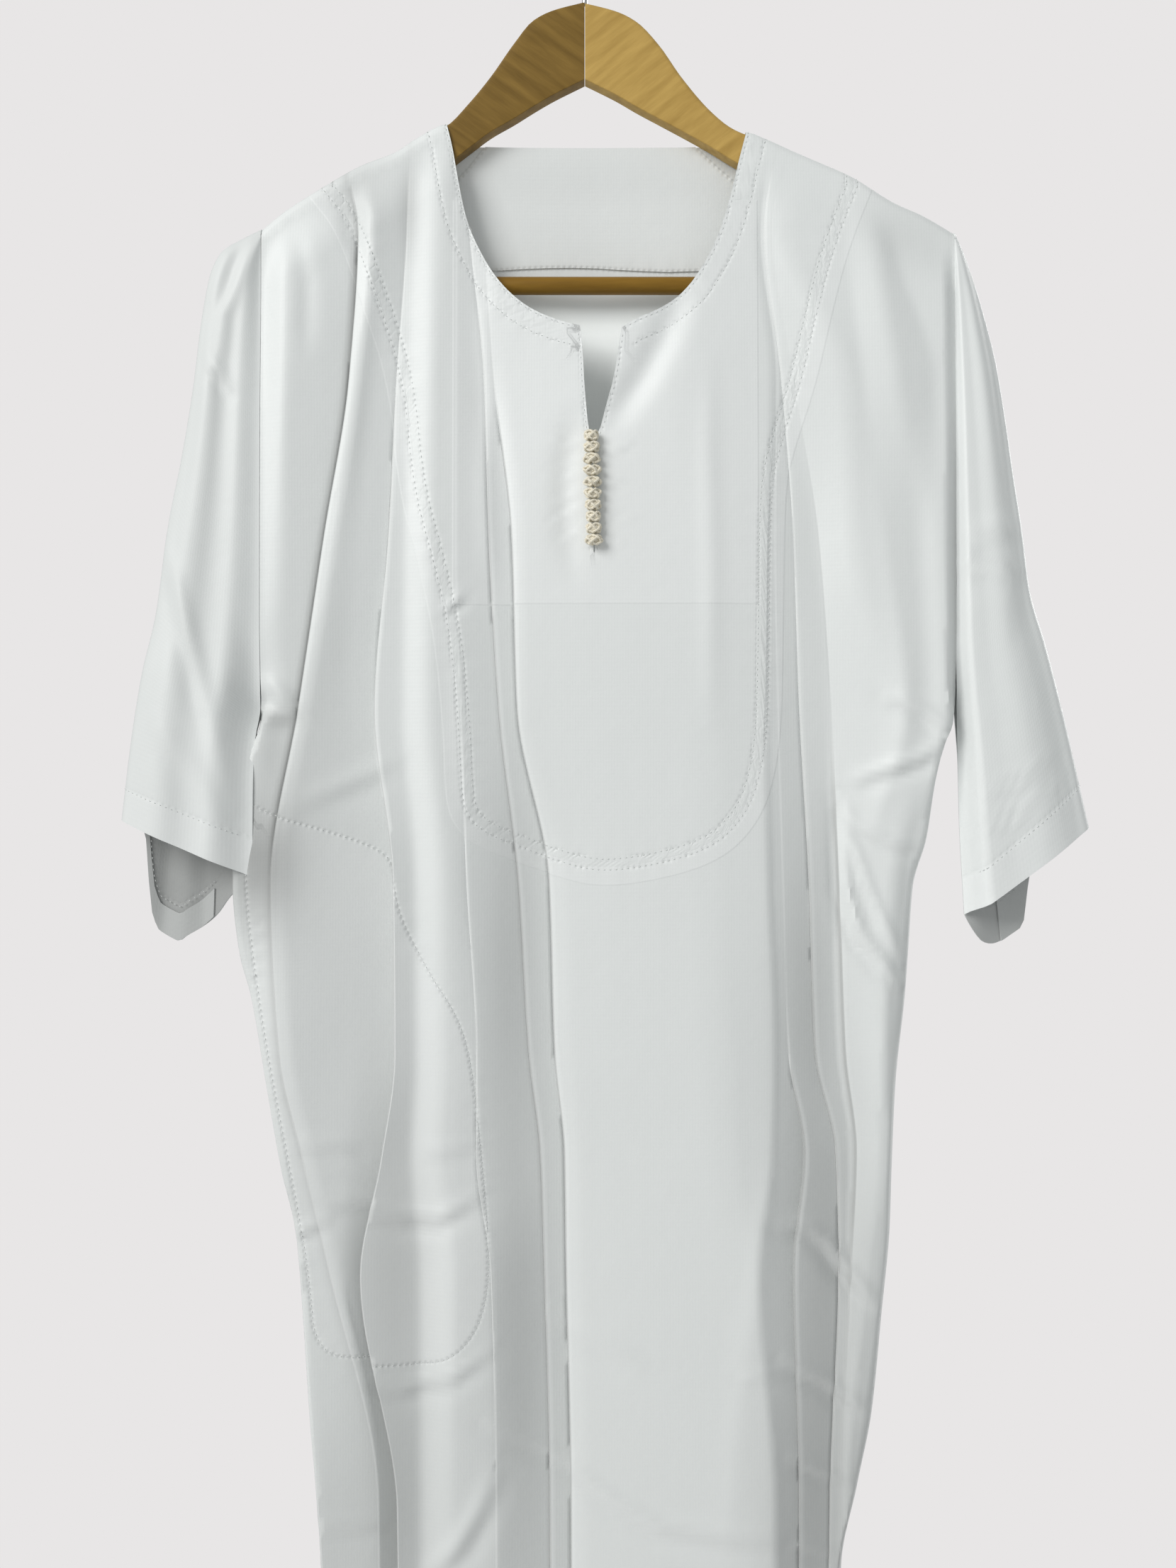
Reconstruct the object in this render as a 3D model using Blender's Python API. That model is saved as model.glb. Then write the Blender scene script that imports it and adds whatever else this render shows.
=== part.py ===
"""A white short-sleeved djellaba hanging on a two-piece wooden clothes hanger.

Metres, +Z up, +X to the viewer's right, -Y towards the viewer.  The origin is the
seat of the hanger's hook.  Tables are in millimetres: x from the hook's line, drop
down from the hook's seat, out towards the viewer (front) or away (back).

The cloth is cut from two flat nets, one for the front and one for the back.  A net's
points carry (x, w), where w is the height, unrolled where the cloth turns over the
hanger's arms.  Each piece takes its own triangles of the net, lifted on the folds.
"""
import math

import bpy
import numpy as np
from mathutils import Vector
from mathutils.geometry import delaunay_2d_cdt

MM = 0.001

# Driving sizes
WALL = 1.2
SEAM_GAP = 0.3
LAYER = WALL + SEAM_GAP
HEM_DROP = 1474.0
BIB_GAP = 0.6
SLEEVE_SEAM = {"left": -199.8, "right": 228.4}
EDGE_ROUND = 14.0
SEAM_HALF = 0.9
ARMHOLE_HALF = 7.0

# The net is laid out with its rows along the shoulders at the top and level below
# them, its heights shrunk by GRAIN, so that its triangles follow the cloth's drape
GRAIN = 0.4
ARM_STRETCH = 8.0
LEVEL_BELOW = 160.0
NECK_DROP = 149.0
EDGE_STEP = 12.0
HEM_STEP = 14.0
EDGE_CLEAR = 4.0
ARM_CLEAR = 10.0
LEAST_AREA = 0.03
SEARCH_MARGIN = 50.0
HALVINGS = 45

# Spacing of a panel's points: across, clear of its edges, and rows as first drop, last
# drop and spacing
FRONT_NET = (12.0, 4.0, ((196.0, 640.0, 28.0), (648.0, 1060.0, 40.0), (1095.0, 1454.0, 62.0)))
BACK_NET = (15.0, 5.0, ((200.0, 640.0, 36.0), (650.0, 1454.0, 58.0)))

# The cloth's middle surface turns over the arms along a quarter ellipse
WRAP_REACH = 7.0
WRAP_HEIGHT = 6.5
WRAP_LENGTH = 10.6
WRAP_EASE = 38.0

# Hanger
ARM_THICK = 11.4
ARM_TOP_ROUND = 5.4
ARM_EDGE_ROUND = 1.0
ARM_LAYERS = (-1.0, -0.93, -0.62, 0.0, 0.62, 0.93, 1.0)
MITRE_GAP = 0.3
BAR_RADIUS = 5.5
BAR_DROP = 249.3
BAR_REACH = 187.5
HOOK_WIRE = 1.8
HOOK_INNER = 20.0
HOOK_START = 205
HOOK_END = -59
HOOK_BENDS = 22

# The hook's shank, from its crook down to the wood: x, height
HOOK_SHANK = (
    (7.6, -41.3), (4.2, -44.4), (1.6, -48.6), (0.3, -54.0), (0.0, -60.0), (0.0, -74.7),
)

# Knotted buttons
KNOT_COUNT = 10
KNOT_PITCH = 7.1
KNOT_HALF = (4.7, 3.3, 3.3)
KNOT_FIRST = (4.0, 346.8)
KNOT_LAST = (5.6, 346.8 + 9 * KNOT_PITCH)
KNOT_CLEAR = 0.5

# Colour, roughness, metallic
FINISHES = {
    "cloth": ((0.83, 0.86, 0.85), 0.42, 0.0),
    "facing": ((0.86, 0.87, 0.86), 0.5, 0.0),
    "cord": ((0.78, 0.72, 0.58), 0.75, 0.0),
    "wood": ((0.52, 0.30, 0.10), 0.4, 0.0),
    "steel": ((0.62, 0.62, 0.62), 0.3, 1.0),
}

# Outline of the shoulders over the hanger: x, drop
SHOULDER = (
    (-200.0, 215.0), (-187.5, 204.5), (-161.0, 187.5), (-139.0, 175.0), (-117.0, 166.3),
    (-103.6, 157.5), (-85.5, 149.3), (100.0, 154.0), (112.5, 158.4), (130.0, 166.3),
    (143.3, 172.0), (165.4, 181.8), (191.8, 198.0), (209.5, 206.0), (228.4, 217.0),
)

# Side edges: drop, left x, left y, right x, right y, half of the way open to the sleeve
SIDES = (
    (140.0, -199.8, 0.0, 228.4, 0.0, 7.0),
    (498.0, -199.8, 0.0, 228.4, 0.0, 7.0),
    (512.0, -200.3, 0.3, 228.8, 0.0, 4.0),
    (522.0, -201.5, 1.0, 227.5, 0.0, 0.9),
    (534.0, -206.0, 2.0, 223.0, 0.0, 0.9),
    (556.0, -213.5, 3.0, 217.4, 0.0, 0.9),
    (592.0, -218.5, 3.0, 212.0, 0.0, 0.9),
    (622.0, -218.3, 1.5, 203.5, 0.0, 0.9),
    (662.0, -213.9, 0.0, 200.5, 0.0, 0.9),
    (689.0, -206.4, 0.0, 198.5, 0.0, 0.9),
    (746.0, -196.2, 0.0, 192.5, 0.0, 0.9),
    (795.0, -187.4, 0.0, 190.3, 0.0, 0.9),
    (834.0, -178.6, 0.0, 189.0, 0.0, 0.9),
    (887.0, -174.2, 0.0, 184.0, 0.0, 0.9),
    (949.0, -170.0, 0.0, 177.7, 0.0, 0.9),
    (993.0, -166.2, 0.0, 169.0, 0.0, 0.9),
    (1047.0, -163.2, 0.0, 158.8, 0.0, 0.9),
    (HEM_DROP, -168.0, 0.0, 164.0, 0.0, 0.9),
)

FOLD_DROPS = (150, 250, 380, 510, 600, 720, 860, 1050, 1474)

# Folds of the front: name, x at each fold drop, out at each fold drop
FRONT_FOLDS = (
    ("side strip",
     (-170, -176, -181, -193, -205, -194, -165, -142, -143), (7, 15, 16, 8, 4, 9, 13, 16, 18)),
    ("pocket fold",
     (-116, -141, -162, -184, -190, -183, -151, -122, -117), (7, 8, 7, 7, 11, 15, 20, 24, 24)),
    ("main ridge",
     (-106, -128, -149, -170, -157, -143, -137, -115, -108), (7, 21, 25, 19, 20, 22, 19, 18, 18)),
    ("side valley",
     (-98, -112, -121, -124, -120, -117, -116, -103, -94), (7, 13, 20, 17, 14, 8, 5, 5, 8)),
    ("left ridge",
     (-91, -95, -97, -97, -88, -82, -69, -62, -60), (7, 13, 23, 27, 28, 30, 32, 34, 36)),
    ("left ridge edge",
     (-82, -86, -87, -86, -76, -71, -60, -54, -52), (7, 12, 22, 27, 28, 30, 32, 34, 36)),
    ("left valley",
     (-71, -75, -69, -64, -55, -48, -40, -35, -34), (7, 10, 14, 14, 13, 12, 12, 12, 14)),
    ("left valley end",
     (-55, -57, -53, -48, -38, -32, -25, -20, -19), (8, 10, 15, 15, 14, 13, 13, 13, 15)),
    ("panel left",
     (-44, -45, -40, -35, -25, -15, -9, -6, -5), (8, 12, 18, 20, 20, 20, 22, 23, 25)),
    ("panel middle",
     (2, 2, 7, 11, 20, 27, 31, 35, 35), (8, 13, 19, 22, 23, 24, 26, 28, 29)),
    ("panel right",
     (60, 60, 71, 82, 86, 90, 93, 95, 95), (8, 14, 19, 22, 23, 22, 22, 23, 25)),
    ("right edge",
     (107, 105, 109, 110, 114, 118, 120, 127, 129), (7, 13, 19, 21, 23, 26, 29, 31, 33)),
    ("right valley",
     (121, 119, 121, 129, 135, 143, 147, 142, 143), (7, 10, 13, 12, 10, 6, 5, 5, 8)),
    ("right crest",
     (157, 161, 171, 175, 173, 171, 167, 150, 154), (7, 14, 18, 18, 17, 15, 14, 12, 13)),
    ("right side",
     (194, 198, 203, 201, 193, 185, 176, 155, 159), (7, 14, 16, 15, 13, 12, 11, 10, 11)),
)

# Folds of the back: name, x at each fold drop, out at each fold drop
BACK_FOLDS = (
    ("left side",
     (-180, -182, -182, -180, -192, -182, -164, -150, -154), (7, 12, 15, 12, 11, 13, 14, 14, 16)),
    ("left hollow",
     (-140, -142, -140, -134, -140, -132, -122, -112, -114), (7, 9, 10, 9, 9, 9, 8, 8, 10)),
    ("left crest",
     (-98, -98, -94, -88, -92, -90, -82, -76, -80), (7, 14, 19, 22, 23, 25, 27, 29, 31)),
    ("neck hollow left",
     (-60, -58, -52, -46, -46, -42, -38, -34, -36), (8, 11, 13, 13, 13, 12, 11, 11, 13)),
    ("middle",
     (6, 6, 2, 2, 4, 6, 8, 10, 10), (9, 14, 19, 23, 25, 27, 29, 31, 33)),
    ("neck hollow right",
     (74, 72, 60, 54, 52, 50, 50, 50, 52), (8, 11, 13, 13, 12, 12, 11, 11, 13)),
    ("right crest",
     (106, 106, 104, 100, 98, 96, 96, 92, 94), (7, 14, 19, 22, 23, 25, 26, 27, 29)),
    ("right hollow",
     (150, 150, 150, 146, 140, 134, 130, 120, 124), (7, 9, 10, 10, 9, 9, 8, 8, 10)),
    ("right side",
     (194, 196, 198, 196, 186, 174, 166, 142, 146), (7, 12, 15, 14, 13, 13, 13, 12, 14)),
)

# Neckline and slit of the bib, from the left shoulder to the right one: x, drop
NECKLINE = (
    (-85.1, 152.0), (-81.6, 166.0), (-78.0, 188.0), (-72.8, 213.0), (-64.5, 231.0),
    (-56.4, 245.0), (-46.3, 257.0), (-33.0, 267.5), (-15.4, 275.0), (-3.0, 278.0),
    (-1.3, 292.0), (0.0, 318.5), (2.4, 343.0), (4.6, 348.0), (5.4, 417.5),
    (6.2, 417.5), (5.4, 348.0), (9.0, 343.0), (12.0, 332.0), (18.0, 310.0),
    (21.2, 288.0), (22.5, 280.0), (28.7, 275.5), (46.3, 268.0), (61.7, 257.0),
    (72.8, 241.0), (82.5, 221.5), (90.4, 195.0), (94.8, 175.0), (99.6, 157.0),
)

BACK_NECKLINE = (
    (-85.1, 152.0), (-80.0, 158.5), (-68.0, 161.0), (0.0, 161.5),
    (80.0, 161.0), (93.0, 159.0), (99.6, 156.0),
)

# U seam that joins the bib to the body, from left to right: x, drop
BIB_SEAM = (
    (-161.0, 190.0), (-143.0, 213.0), (-126.0, 261.0), (-110.0, 310.0), (-103.6, 376.0),
    (-90.4, 424.0), (-80.7, 468.0), (-75.0, 530.0), (-74.0, 565.0), (-70.0, 579.0),
    (-59.5, 588.0), (-37.5, 597.0), (-11.0, 606.0), (11.0, 611.0), (46.0, 606.0),
    (77.0, 596.0), (95.0, 579.0), (104.5, 557.0), (109.5, 526.0), (110.7, 468.0),
    (111.6, 380.0), (117.0, 354.0), (131.0, 312.0), (140.0, 270.0), (152.0, 226.0),
    (166.5, 190.0),
)

# Front neck facing: left, right, top and lower edge
FRONT_FACING = {"left": -81.0, "right": 106.0, "top": 200.0, "low": 449.0}

# Back neck facing, its top edge past the neckline: x, drop
BACK_FACING = (
    (-60.0, 158.0), (-76.0, 178.0), (-94.0, 192.0), (-98.0, 239.0), (-60.0, 241.0),
    (0.0, 238.5), (50.0, 241.5), (108.0, 239.0), (106.0, 190.0), (90.0, 180.0),
    (66.0, 158.0),
)

# Pocket bag inside the front, from its top at the side seam: x, drop
POCKET_BAG = (
    (-204.0, 572.0), (-186.5, 580.0), (-165.0, 586.0), (-143.0, 593.0), (-126.0, 600.0),
    (-118.0, 609.0), (-113.0, 640.0), (-95.0, 673.0), (-77.0, 700.0), (-69.0, 729.0),
    (-64.0, 777.0), (-57.3, 850.0), (-62.0, 883.0), (-73.0, 901.0), (-92.0, 912.0),
    (-128.0, 911.0), (-164.0, 907.0), (-168.0, 860.0), (-176.0, 810.0), (-190.0, 740.0),
    (-202.0, 670.0), (-208.0, 620.0), (-207.0, 590.0),
)

# Sleeve rings from the shoulder to the cuff: inner x and drop at the seam, outer x and
# drop at the fold, front and back reach, seam y, half gap at the seam
SLEEVE_RINGS = {
    "left": (
        (-200.1, 222.1, -200.1, 215.6, 7, 7, 0, 7.0),
        (-200.1, 236.0, -212.5, 221.5, 9, 9, 0, 7.0),
        (-200.1, 256.0, -224.5, 229.0, 11, 10, 0, 7.0),
        (-200.1, 286.0, -231.5, 242.0, 14, 12, 0, 7.0),
        (-200.1, 326.0, -237.0, 270.0, 17, 13, 0, 7.0),
        (-200.1, 376.0, -242.5, 314.0, 20, 14, 0, 7.0),
        (-200.1, 430.0, -249.0, 354.0, 22, 14, 0, 7.0),
        (-200.1, 478.0, -258.0, 400.0, 24, 14, 0, 7.0),
        (-200.8, 510.0, -265.5, 455.0, 26, 12, 0, 4.0),
        (-203.2, 532.0, -273.5, 490.0, 28, 11, -8, 0.9),
        (-203.6, 560.0, -280.0, 531.0, 28, 10, -13, 0.9),
        (-203.7, 616.0, -286.0, 581.0, 26, 10, -14, 0.9),
    ),
    "right": (
        (228.7, 224.1, 228.7, 217.6, 7, 7, 0, 7.0),
        (228.7, 240.0, 233.5, 228.0, 10, 9, 0, 7.0),
        (228.7, 262.0, 240.5, 248.0, 12, 10, 0, 7.0),
        (228.7, 290.0, 247.0, 270.0, 14, 12, 0, 7.0),
        (228.7, 325.0, 253.6, 296.0, 16, 13, 0, 7.0),
        (228.7, 370.0, 259.7, 332.0, 18, 14, 0, 7.0),
        (228.7, 420.0, 264.6, 367.0, 20, 15, 0, 7.0),
        (228.7, 470.0, 270.0, 402.0, 22, 15, 0, 7.0),
        (230.5, 514.0, 274.5, 438.0, 23, 15, 0, 4.5),
        (232.0, 546.0, 284.5, 473.0, 24, 15, 0, 0.9),
        (233.0, 585.0, 296.5, 520.0, 25, 14, 0, 0.9),
        (236.0, 640.0, 311.3, 585.3, 24, 14, 0, 0.9),
    ),
}

# How far the back layer hangs below the front one at the cuff: place round the sleeve, drop
CUFF_SAG = {
    "left": (
        (1.0, 0.0), (1.32, 2.0), (1.4, 54.0), (1.47, 63.0), (1.57, 63.0), (1.63, 57.0),
        (1.71, 48.0), (1.8, 35.0), (1.88, 19.0), (2.0, 0.0),
    ),
    "right": (
        (1.0, 0.0), (1.57, 1.0), (1.64, 33.0), (1.67, 37.0), (1.77, 36.0), (1.82, 34.0),
        (1.89, 27.0), (1.96, 12.0), (2.0, 0.0),
    ),
}
SAG_START = 6
RING_LENGTH = 40.0
OPENING_SHARE = 0.3

# Sleeve folds: side, place round the sleeve at the top and at the cuff, half width, height
SLEEVE_FOLDS = (
    ("left", 0.62, 0.50, 0.16, 4.0),
    ("left", 0.38, 0.26, 0.12, -4.0),
    ("left", 1.55, 1.45, 0.18, 4.0),
    ("right", 0.40, 0.42, 0.20, 3.5),
    ("right", 0.66, 0.70, 0.14, -3.0),
    ("right", 1.50, 1.45, 0.18, 3.5),
)
SLEEVE_AROUND = 18
SLEEVE_ALONG = 17
CUFF_HEM = 15.0
HEM_CLEAR = 3

# Hanger arms: distance from the middle, top drop, lower drop
ARM_PROFILES = {
    "left": (
        (0.0, 75.0, 123.0), (20.0, 80.3, 133.0), (32.0, 86.5, 140.0), (44.0, 101.0, 147.5),
        (58.0, 121.0, 155.5), (71.5, 137.5, 165.5), (85.5, 151.7, 176.0), (103.6, 160.0, 187.0),
        (117.0, 168.8, 195.0), (139.0, 177.5, 204.0), (161.0, 190.0, 216.0),
        (187.5, 207.0, 234.0), (187.7, 207.2, 259.0), (213.0, 230.0, 259.0),
        (221.0, 240.0, 251.0),
    ),
    "right": (
        (0.0, 75.0, 123.0), (20.0, 80.3, 133.0), (32.0, 86.5, 140.0), (46.0, 101.0, 147.5),
        (60.0, 121.0, 155.0), (78.0, 142.0, 165.0), (91.0, 152.5, 173.0), (100.0, 156.6, 178.0),
        (112.5, 160.9, 184.5), (130.0, 168.8, 193.0), (143.3, 174.5, 199.0),
        (165.4, 184.3, 209.0), (187.5, 198.0, 226.0), (187.7, 198.2, 259.0),
        (212.0, 211.0, 259.0), (221.0, 223.0, 250.0),
    ),
}


def remove_everything():
    for item in list(bpy.data.objects):
        bpy.data.objects.remove(item, do_unlink=True)


def make_material(name):
    colour, roughness, metallic = FINISHES[name]
    material = bpy.data.materials.new(name)
    material.use_nodes = True
    shader = material.node_tree.nodes["Principled BSDF"]
    shader.inputs["Base Color"].default_value = (*colour, 1.0)
    shader.inputs["Roughness"].default_value = roughness
    shader.inputs["Metallic"].default_value = metallic
    return material


def add_object(name, data, material):
    item = bpy.data.objects.new(name, data)
    bpy.context.scene.collection.objects.link(item)
    data.materials.append(material)
    return item


def ease(amount):
    """Smooth step of a value, from 0 to 1."""
    t = np.clip(amount, 0.0, 1.0)
    return t * t * (3.0 - 2.0 * t)


def smooth_line(places, values, at):
    """Cubic curve through the values that never swings past them."""
    places = np.asarray(places, float)
    values = np.asarray(values, float)
    step = np.diff(places)
    slope = np.diff(values) / step
    tangent = np.zeros(len(places))
    same_way = slope[:-1] * slope[1:] > 0
    middle = np.zeros(len(slope) - 1)
    middle[same_way] = 2.0 / (1.0 / slope[:-1][same_way] + 1.0 / slope[1:][same_way])
    tangent[1:-1] = middle
    tangent[0] = slope[0]
    tangent[-1] = slope[-1]
    at = np.clip(np.asarray(at, float), places[0], places[-1])
    k = np.clip(np.searchsorted(places, at, side="right") - 1, 0, len(step) - 1)
    t = (at - places[k]) / step[k]
    start = values[k] * (1 + 2 * t) * (1 - t) ** 2 + tangent[k] * step[k] * t * (1 - t) ** 2
    end = values[k + 1] * t * t * (3 - 2 * t) + tangent[k + 1] * step[k] * t * t * (t - 1)
    return start + end


def shoulder_drop(x):
    return np.interp(x, [row[0] for row in SHOULDER], [row[1] for row in SHOULDER])


def wrap_start(x):
    """Height w where the cloth leaves the arm and hangs."""
    return -shoulder_drop(x) - WALL / 2 - WRAP_HEIGHT


def wrap_top(x):
    return wrap_start(x) + WRAP_LENGTH - SEAM_GAP / 2


def side_value(column, drop):
    return np.interp(drop, [row[0] for row in SIDES], [row[column] for row in SIDES])


def fold_lines(folds, drop):
    """x and out of each fold at each drop, kept in order across."""
    x = np.array([smooth_line(FOLD_DROPS, row[1], drop) for row in folds])
    out = np.array([smooth_line(FOLD_DROPS, row[2], drop) for row in folds])
    order = np.arange(len(folds))[:, None] * 0.5
    return np.maximum.accumulate(x - order, axis=0) + order, out


def fold_out(folds, x, drop):
    """Depth of the folds at (x, drop), eased from each fold line to the next."""
    lines, outs = fold_lines(folds, drop)
    depth = outs[0].copy()
    for k in range(len(folds) - 1):
        share = ease((x - lines[k]) / (lines[k + 1] - lines[k]))
        depth = np.where(x > lines[k], outs[k] + (outs[k + 1] - outs[k]) * share, depth)
    return depth


def panel_surface(x, w, folds, way):
    """Middle surface of the front (way -1) or back (way +1), in mm."""
    x = np.asarray(x, float)
    w = np.asarray(w, float)
    drop = -np.minimum(w, wrap_start(x))
    left = side_value(1, drop)
    right = side_value(3, drop)
    near_left = x - left < right - x
    inset = np.clip(np.minimum(x - left, right - x) / EDGE_ROUND, 0.0, 1.0)
    opening = side_value(5, drop)
    seam_y = np.where(near_left, side_value(2, drop), side_value(4, drop))
    to_sleeve = (opening - SEAM_HALF) / (ARMHOLE_HALF - SEAM_HALF)
    blend = to_sleeve * ease(inset) + (1 - to_sleeve) * np.sin(inset * math.pi / 2)
    edge = opening + way * seam_y
    depth = edge + (fold_out(folds, x, drop) - edge) * blend
    below = ease((wrap_start(x) - w) / WRAP_EASE)
    depth = WRAP_REACH + (depth - WRAP_REACH) * below
    turn = np.clip((w - wrap_start(x)) / WRAP_LENGTH, 0.0, 1.0) * math.pi / 2
    y = way * depth * np.cos(turn)
    z = np.minimum(w, wrap_start(x)) + WRAP_HEIGHT * np.sin(turn)
    return np.stack([x, y, z], axis=-1)


def front_surface(x, w):
    return panel_surface(x, w, FRONT_FOLDS, -1)


def back_surface(x, w):
    return panel_surface(x, w, BACK_FOLDS, 1)


def normals_of(surface, u, v, turn):
    """Unit normals of a surface, turned to the cloth's outer side."""
    step = 0.4
    along_u = surface(u + step, v) - surface(u - step, v)
    along_v = surface(u, v + step) - surface(u, v - step)
    normal = np.cross(along_u, along_v) * turn
    return normal / np.linalg.norm(normal, axis=1)[:, None]


def mesh_normals(points, faces):
    """Normals of a mesh of triangles at its points."""
    a, b, c = (points[faces[:, i]] for i in range(3))
    across = np.cross(b - a, c - a)
    normals = np.zeros_like(points)
    for corner in range(3):
        np.add.at(normals, faces[:, corner], across)
    return normals / np.linalg.norm(normals, axis=1)[:, None]


def split(points, quads):
    """Two triangles for each quad, parted by its shorter diagonal, one after the other."""
    a, b, c, d = (points[quads[:, i]] for i in range(4))
    first = np.linalg.norm(c - a, axis=1) <= np.linalg.norm(d - b, axis=1)
    turned = np.where(first[:, None], quads, np.roll(quads, -1, axis=1))
    return turned[:, (0, 1, 2, 0, 2, 3)].reshape(-1, 3)


def squared(normals):
    """Normals turned to lie along the seam, so that the wall ends square to it."""
    level = normals * (0.0, 1.0, 1.0)
    return level / np.linalg.norm(level, axis=1)[:, None]


def laid_out(points):
    """Where (x, w) points lie in the net's own plane."""
    points = np.asarray(points, float)
    x, w = points[..., 0], points[..., 1]
    up = w - wrap_start(x)
    height = np.where(up > 0, up * ARM_STRETCH, up)
    height = height - (shoulder_drop(x) - NECK_DROP) * ease(-up / LEVEL_BELOW)
    return np.stack([x, height * GRAIN], axis=-1)


def taken_back(places):
    """The (x, w) points that lie at places in the net's plane, found by halving."""
    low = np.full(len(places), -HEM_DROP - SEARCH_MARGIN)
    high = wrap_top(places[:, 0]) + SEARCH_MARGIN
    for _ in range(HALVINGS):
        middle = (low + high) / 2
        under = laid_out(np.stack([places[:, 0], middle], axis=1))[:, 1] < places[:, 1]
        low = np.where(under, middle, low)
        high = np.where(under, high, middle)
    return np.stack([places[:, 0], (low + high) / 2], axis=1)


def divide(line, step):
    """The line with points added so that none is further than a step from the next."""
    points = []
    for (ax, aw), (bx, bw) in zip(line[:-1], line[1:]):
        run = laid_out((bx, bw)) - laid_out((ax, aw))
        count = max(1, math.ceil(math.hypot(*run) / step))
        for i in range(count):
            points.append((ax + (bx - ax) * i / count, aw + (bw - aw) * i / count))
    points.append(line[-1])
    return points


def round_off(line):
    """One corner-cutting round that keeps both ends and halves the kinks."""
    points = [line[0]]
    for (ax, aw), (bx, bw) in zip(line[:-1], line[1:]):
        points.append((0.75 * ax + 0.25 * bx, 0.75 * aw + 0.25 * bw))
        points.append((0.25 * ax + 0.75 * bx, 0.25 * aw + 0.75 * bw))
    points.append(line[-1])
    return points


def shifted(line, distance):
    """A seam moved to its left side by a distance, its ends kept on the shoulders."""
    points = np.array(line)
    along = np.gradient(points, axis=0)
    along /= np.linalg.norm(along, axis=1)[:, None]
    side = np.stack([-along[:, 1], along[:, 0]], axis=1)
    moved = [tuple(p) for p in points + side * distance]
    return [topped(moved[0]), *moved[1:-1], topped(moved[-1])]


def heights(line):
    return [(x, -drop) for x, drop in line]


def shoulder_line(x_from, x_to):
    """Top edge of a panel over the arm."""
    first, last = sorted((float(x_from), float(x_to)))
    between = [row[0] for row in SHOULDER if first < row[0] < last]
    ordered = [first, *between, last]
    if x_from > x_to:
        ordered.reverse()
    return [(x, float(wrap_top(x))) for x in ordered]


def topped(point):
    """The point of the shoulder edge straight above a point."""
    return (point[0], float(wrap_top(point[0])))


def side_line(column):
    """A side edge from the shoulder to the hem."""
    line = [(row[column], -row[0]) for row in SIDES[1:]]
    x = line[0][0]
    return [topped(line[0]), (x, float(wrap_start(x))), *line]


def inside(loop, points):
    """Which points lie inside a closed loop."""
    result = np.zeros(len(points), bool)
    x, w = points[:, 0], points[:, 1]
    for (ax, aw), (bx, bw) in zip(loop, loop[1:] + loop[:1]):
        if aw == bw:
            continue
        spans = (aw > w) != (bw > w)
        cross = ax + (w - aw) / (bw - aw) * (bx - ax)
        result ^= spans & (x < cross)
    return result


def clear_of(loops, points, least):
    """Drop the points that lie closer to a loop's edges than the least distance."""
    keep = np.ones(len(points), bool)
    places = laid_out(points)
    for loop in loops:
        corners = laid_out(loop)
        for start, end in zip(corners, np.roll(corners, -1, axis=0)):
            run = end - start
            t = np.clip((places - start) @ run / max(run @ run, 1e-9), 0.0, 1.0)
            keep &= np.linalg.norm(places - start - t[:, None] * run, axis=1) > least
    return points[keep]


def fold_points(folds, across, rows):
    """Points in rows down the panel, on the fold lines and between them."""
    points = []
    for first, last, spacing in rows:
        for drop in np.arange(first, last, spacing):
            lines = fold_lines(folds, np.array([drop]))[0][:, 0]
            ends = [side_value(1, drop) + EDGE_CLEAR, *lines, side_value(3, drop) - EDGE_CLEAR]
            for start, end in zip(ends[:-1], ends[1:]):
                count = max(1, round((end - start) / across))
                points += [(start + (end - start) * i / count, -drop) for i in range(count)]
    points = np.array(points)
    return points[points[:, 1] < wrap_start(points[:, 0]) - ARM_CLEAR]


def arm_points():
    """Points in closer rows where the cloth turns over the arms, at each shoulder bend."""
    ups = (-12.0, 0.0, WRAP_LENGTH / 4, WRAP_LENGTH / 2, WRAP_LENGTH * 3 / 4)
    bends = np.array([row[0] for row in SHOULDER[1:-1]])
    xs = np.concatenate([bends, (bends[1:] + bends[:-1]) / 2])
    return np.array([(x, float(wrap_start(x)) + up) for x in xs for up in ups])


def panel_points(loops, folds, spacing):
    across, clear, rows = spacing
    hanging = clear_of(loops, fold_points(folds, across, rows), clear)
    return np.concatenate([hanging, clear_of(loops, arm_points(), clear / 2)])


def plane_net(loops, points):
    """Triangles over the plane that keep every edge of the loops."""
    flat = [Vector(place) for loop in loops for place in laid_out(loop)]
    edges = []
    first = 0
    for loop in loops:
        count = len(loop)
        edges += [(first + i, first + (i + 1) % count) for i in range(count)]
        first += count
    flat += [Vector(place) for place in laid_out(points)]
    vertices, _, faces, _, _, _ = delaunay_2d_cdt(flat, edges, [], 0, 1e-4)
    places, faces = np.array(vertices), np.array(faces)
    a, b, c = (places[faces[:, i]] for i in range(3))
    area = np.abs((b - a)[:, 0] * (c - a)[:, 1] - (b - a)[:, 1] * (c - a)[:, 0])
    return taken_back(places), faces[area > LEAST_AREA]


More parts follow.
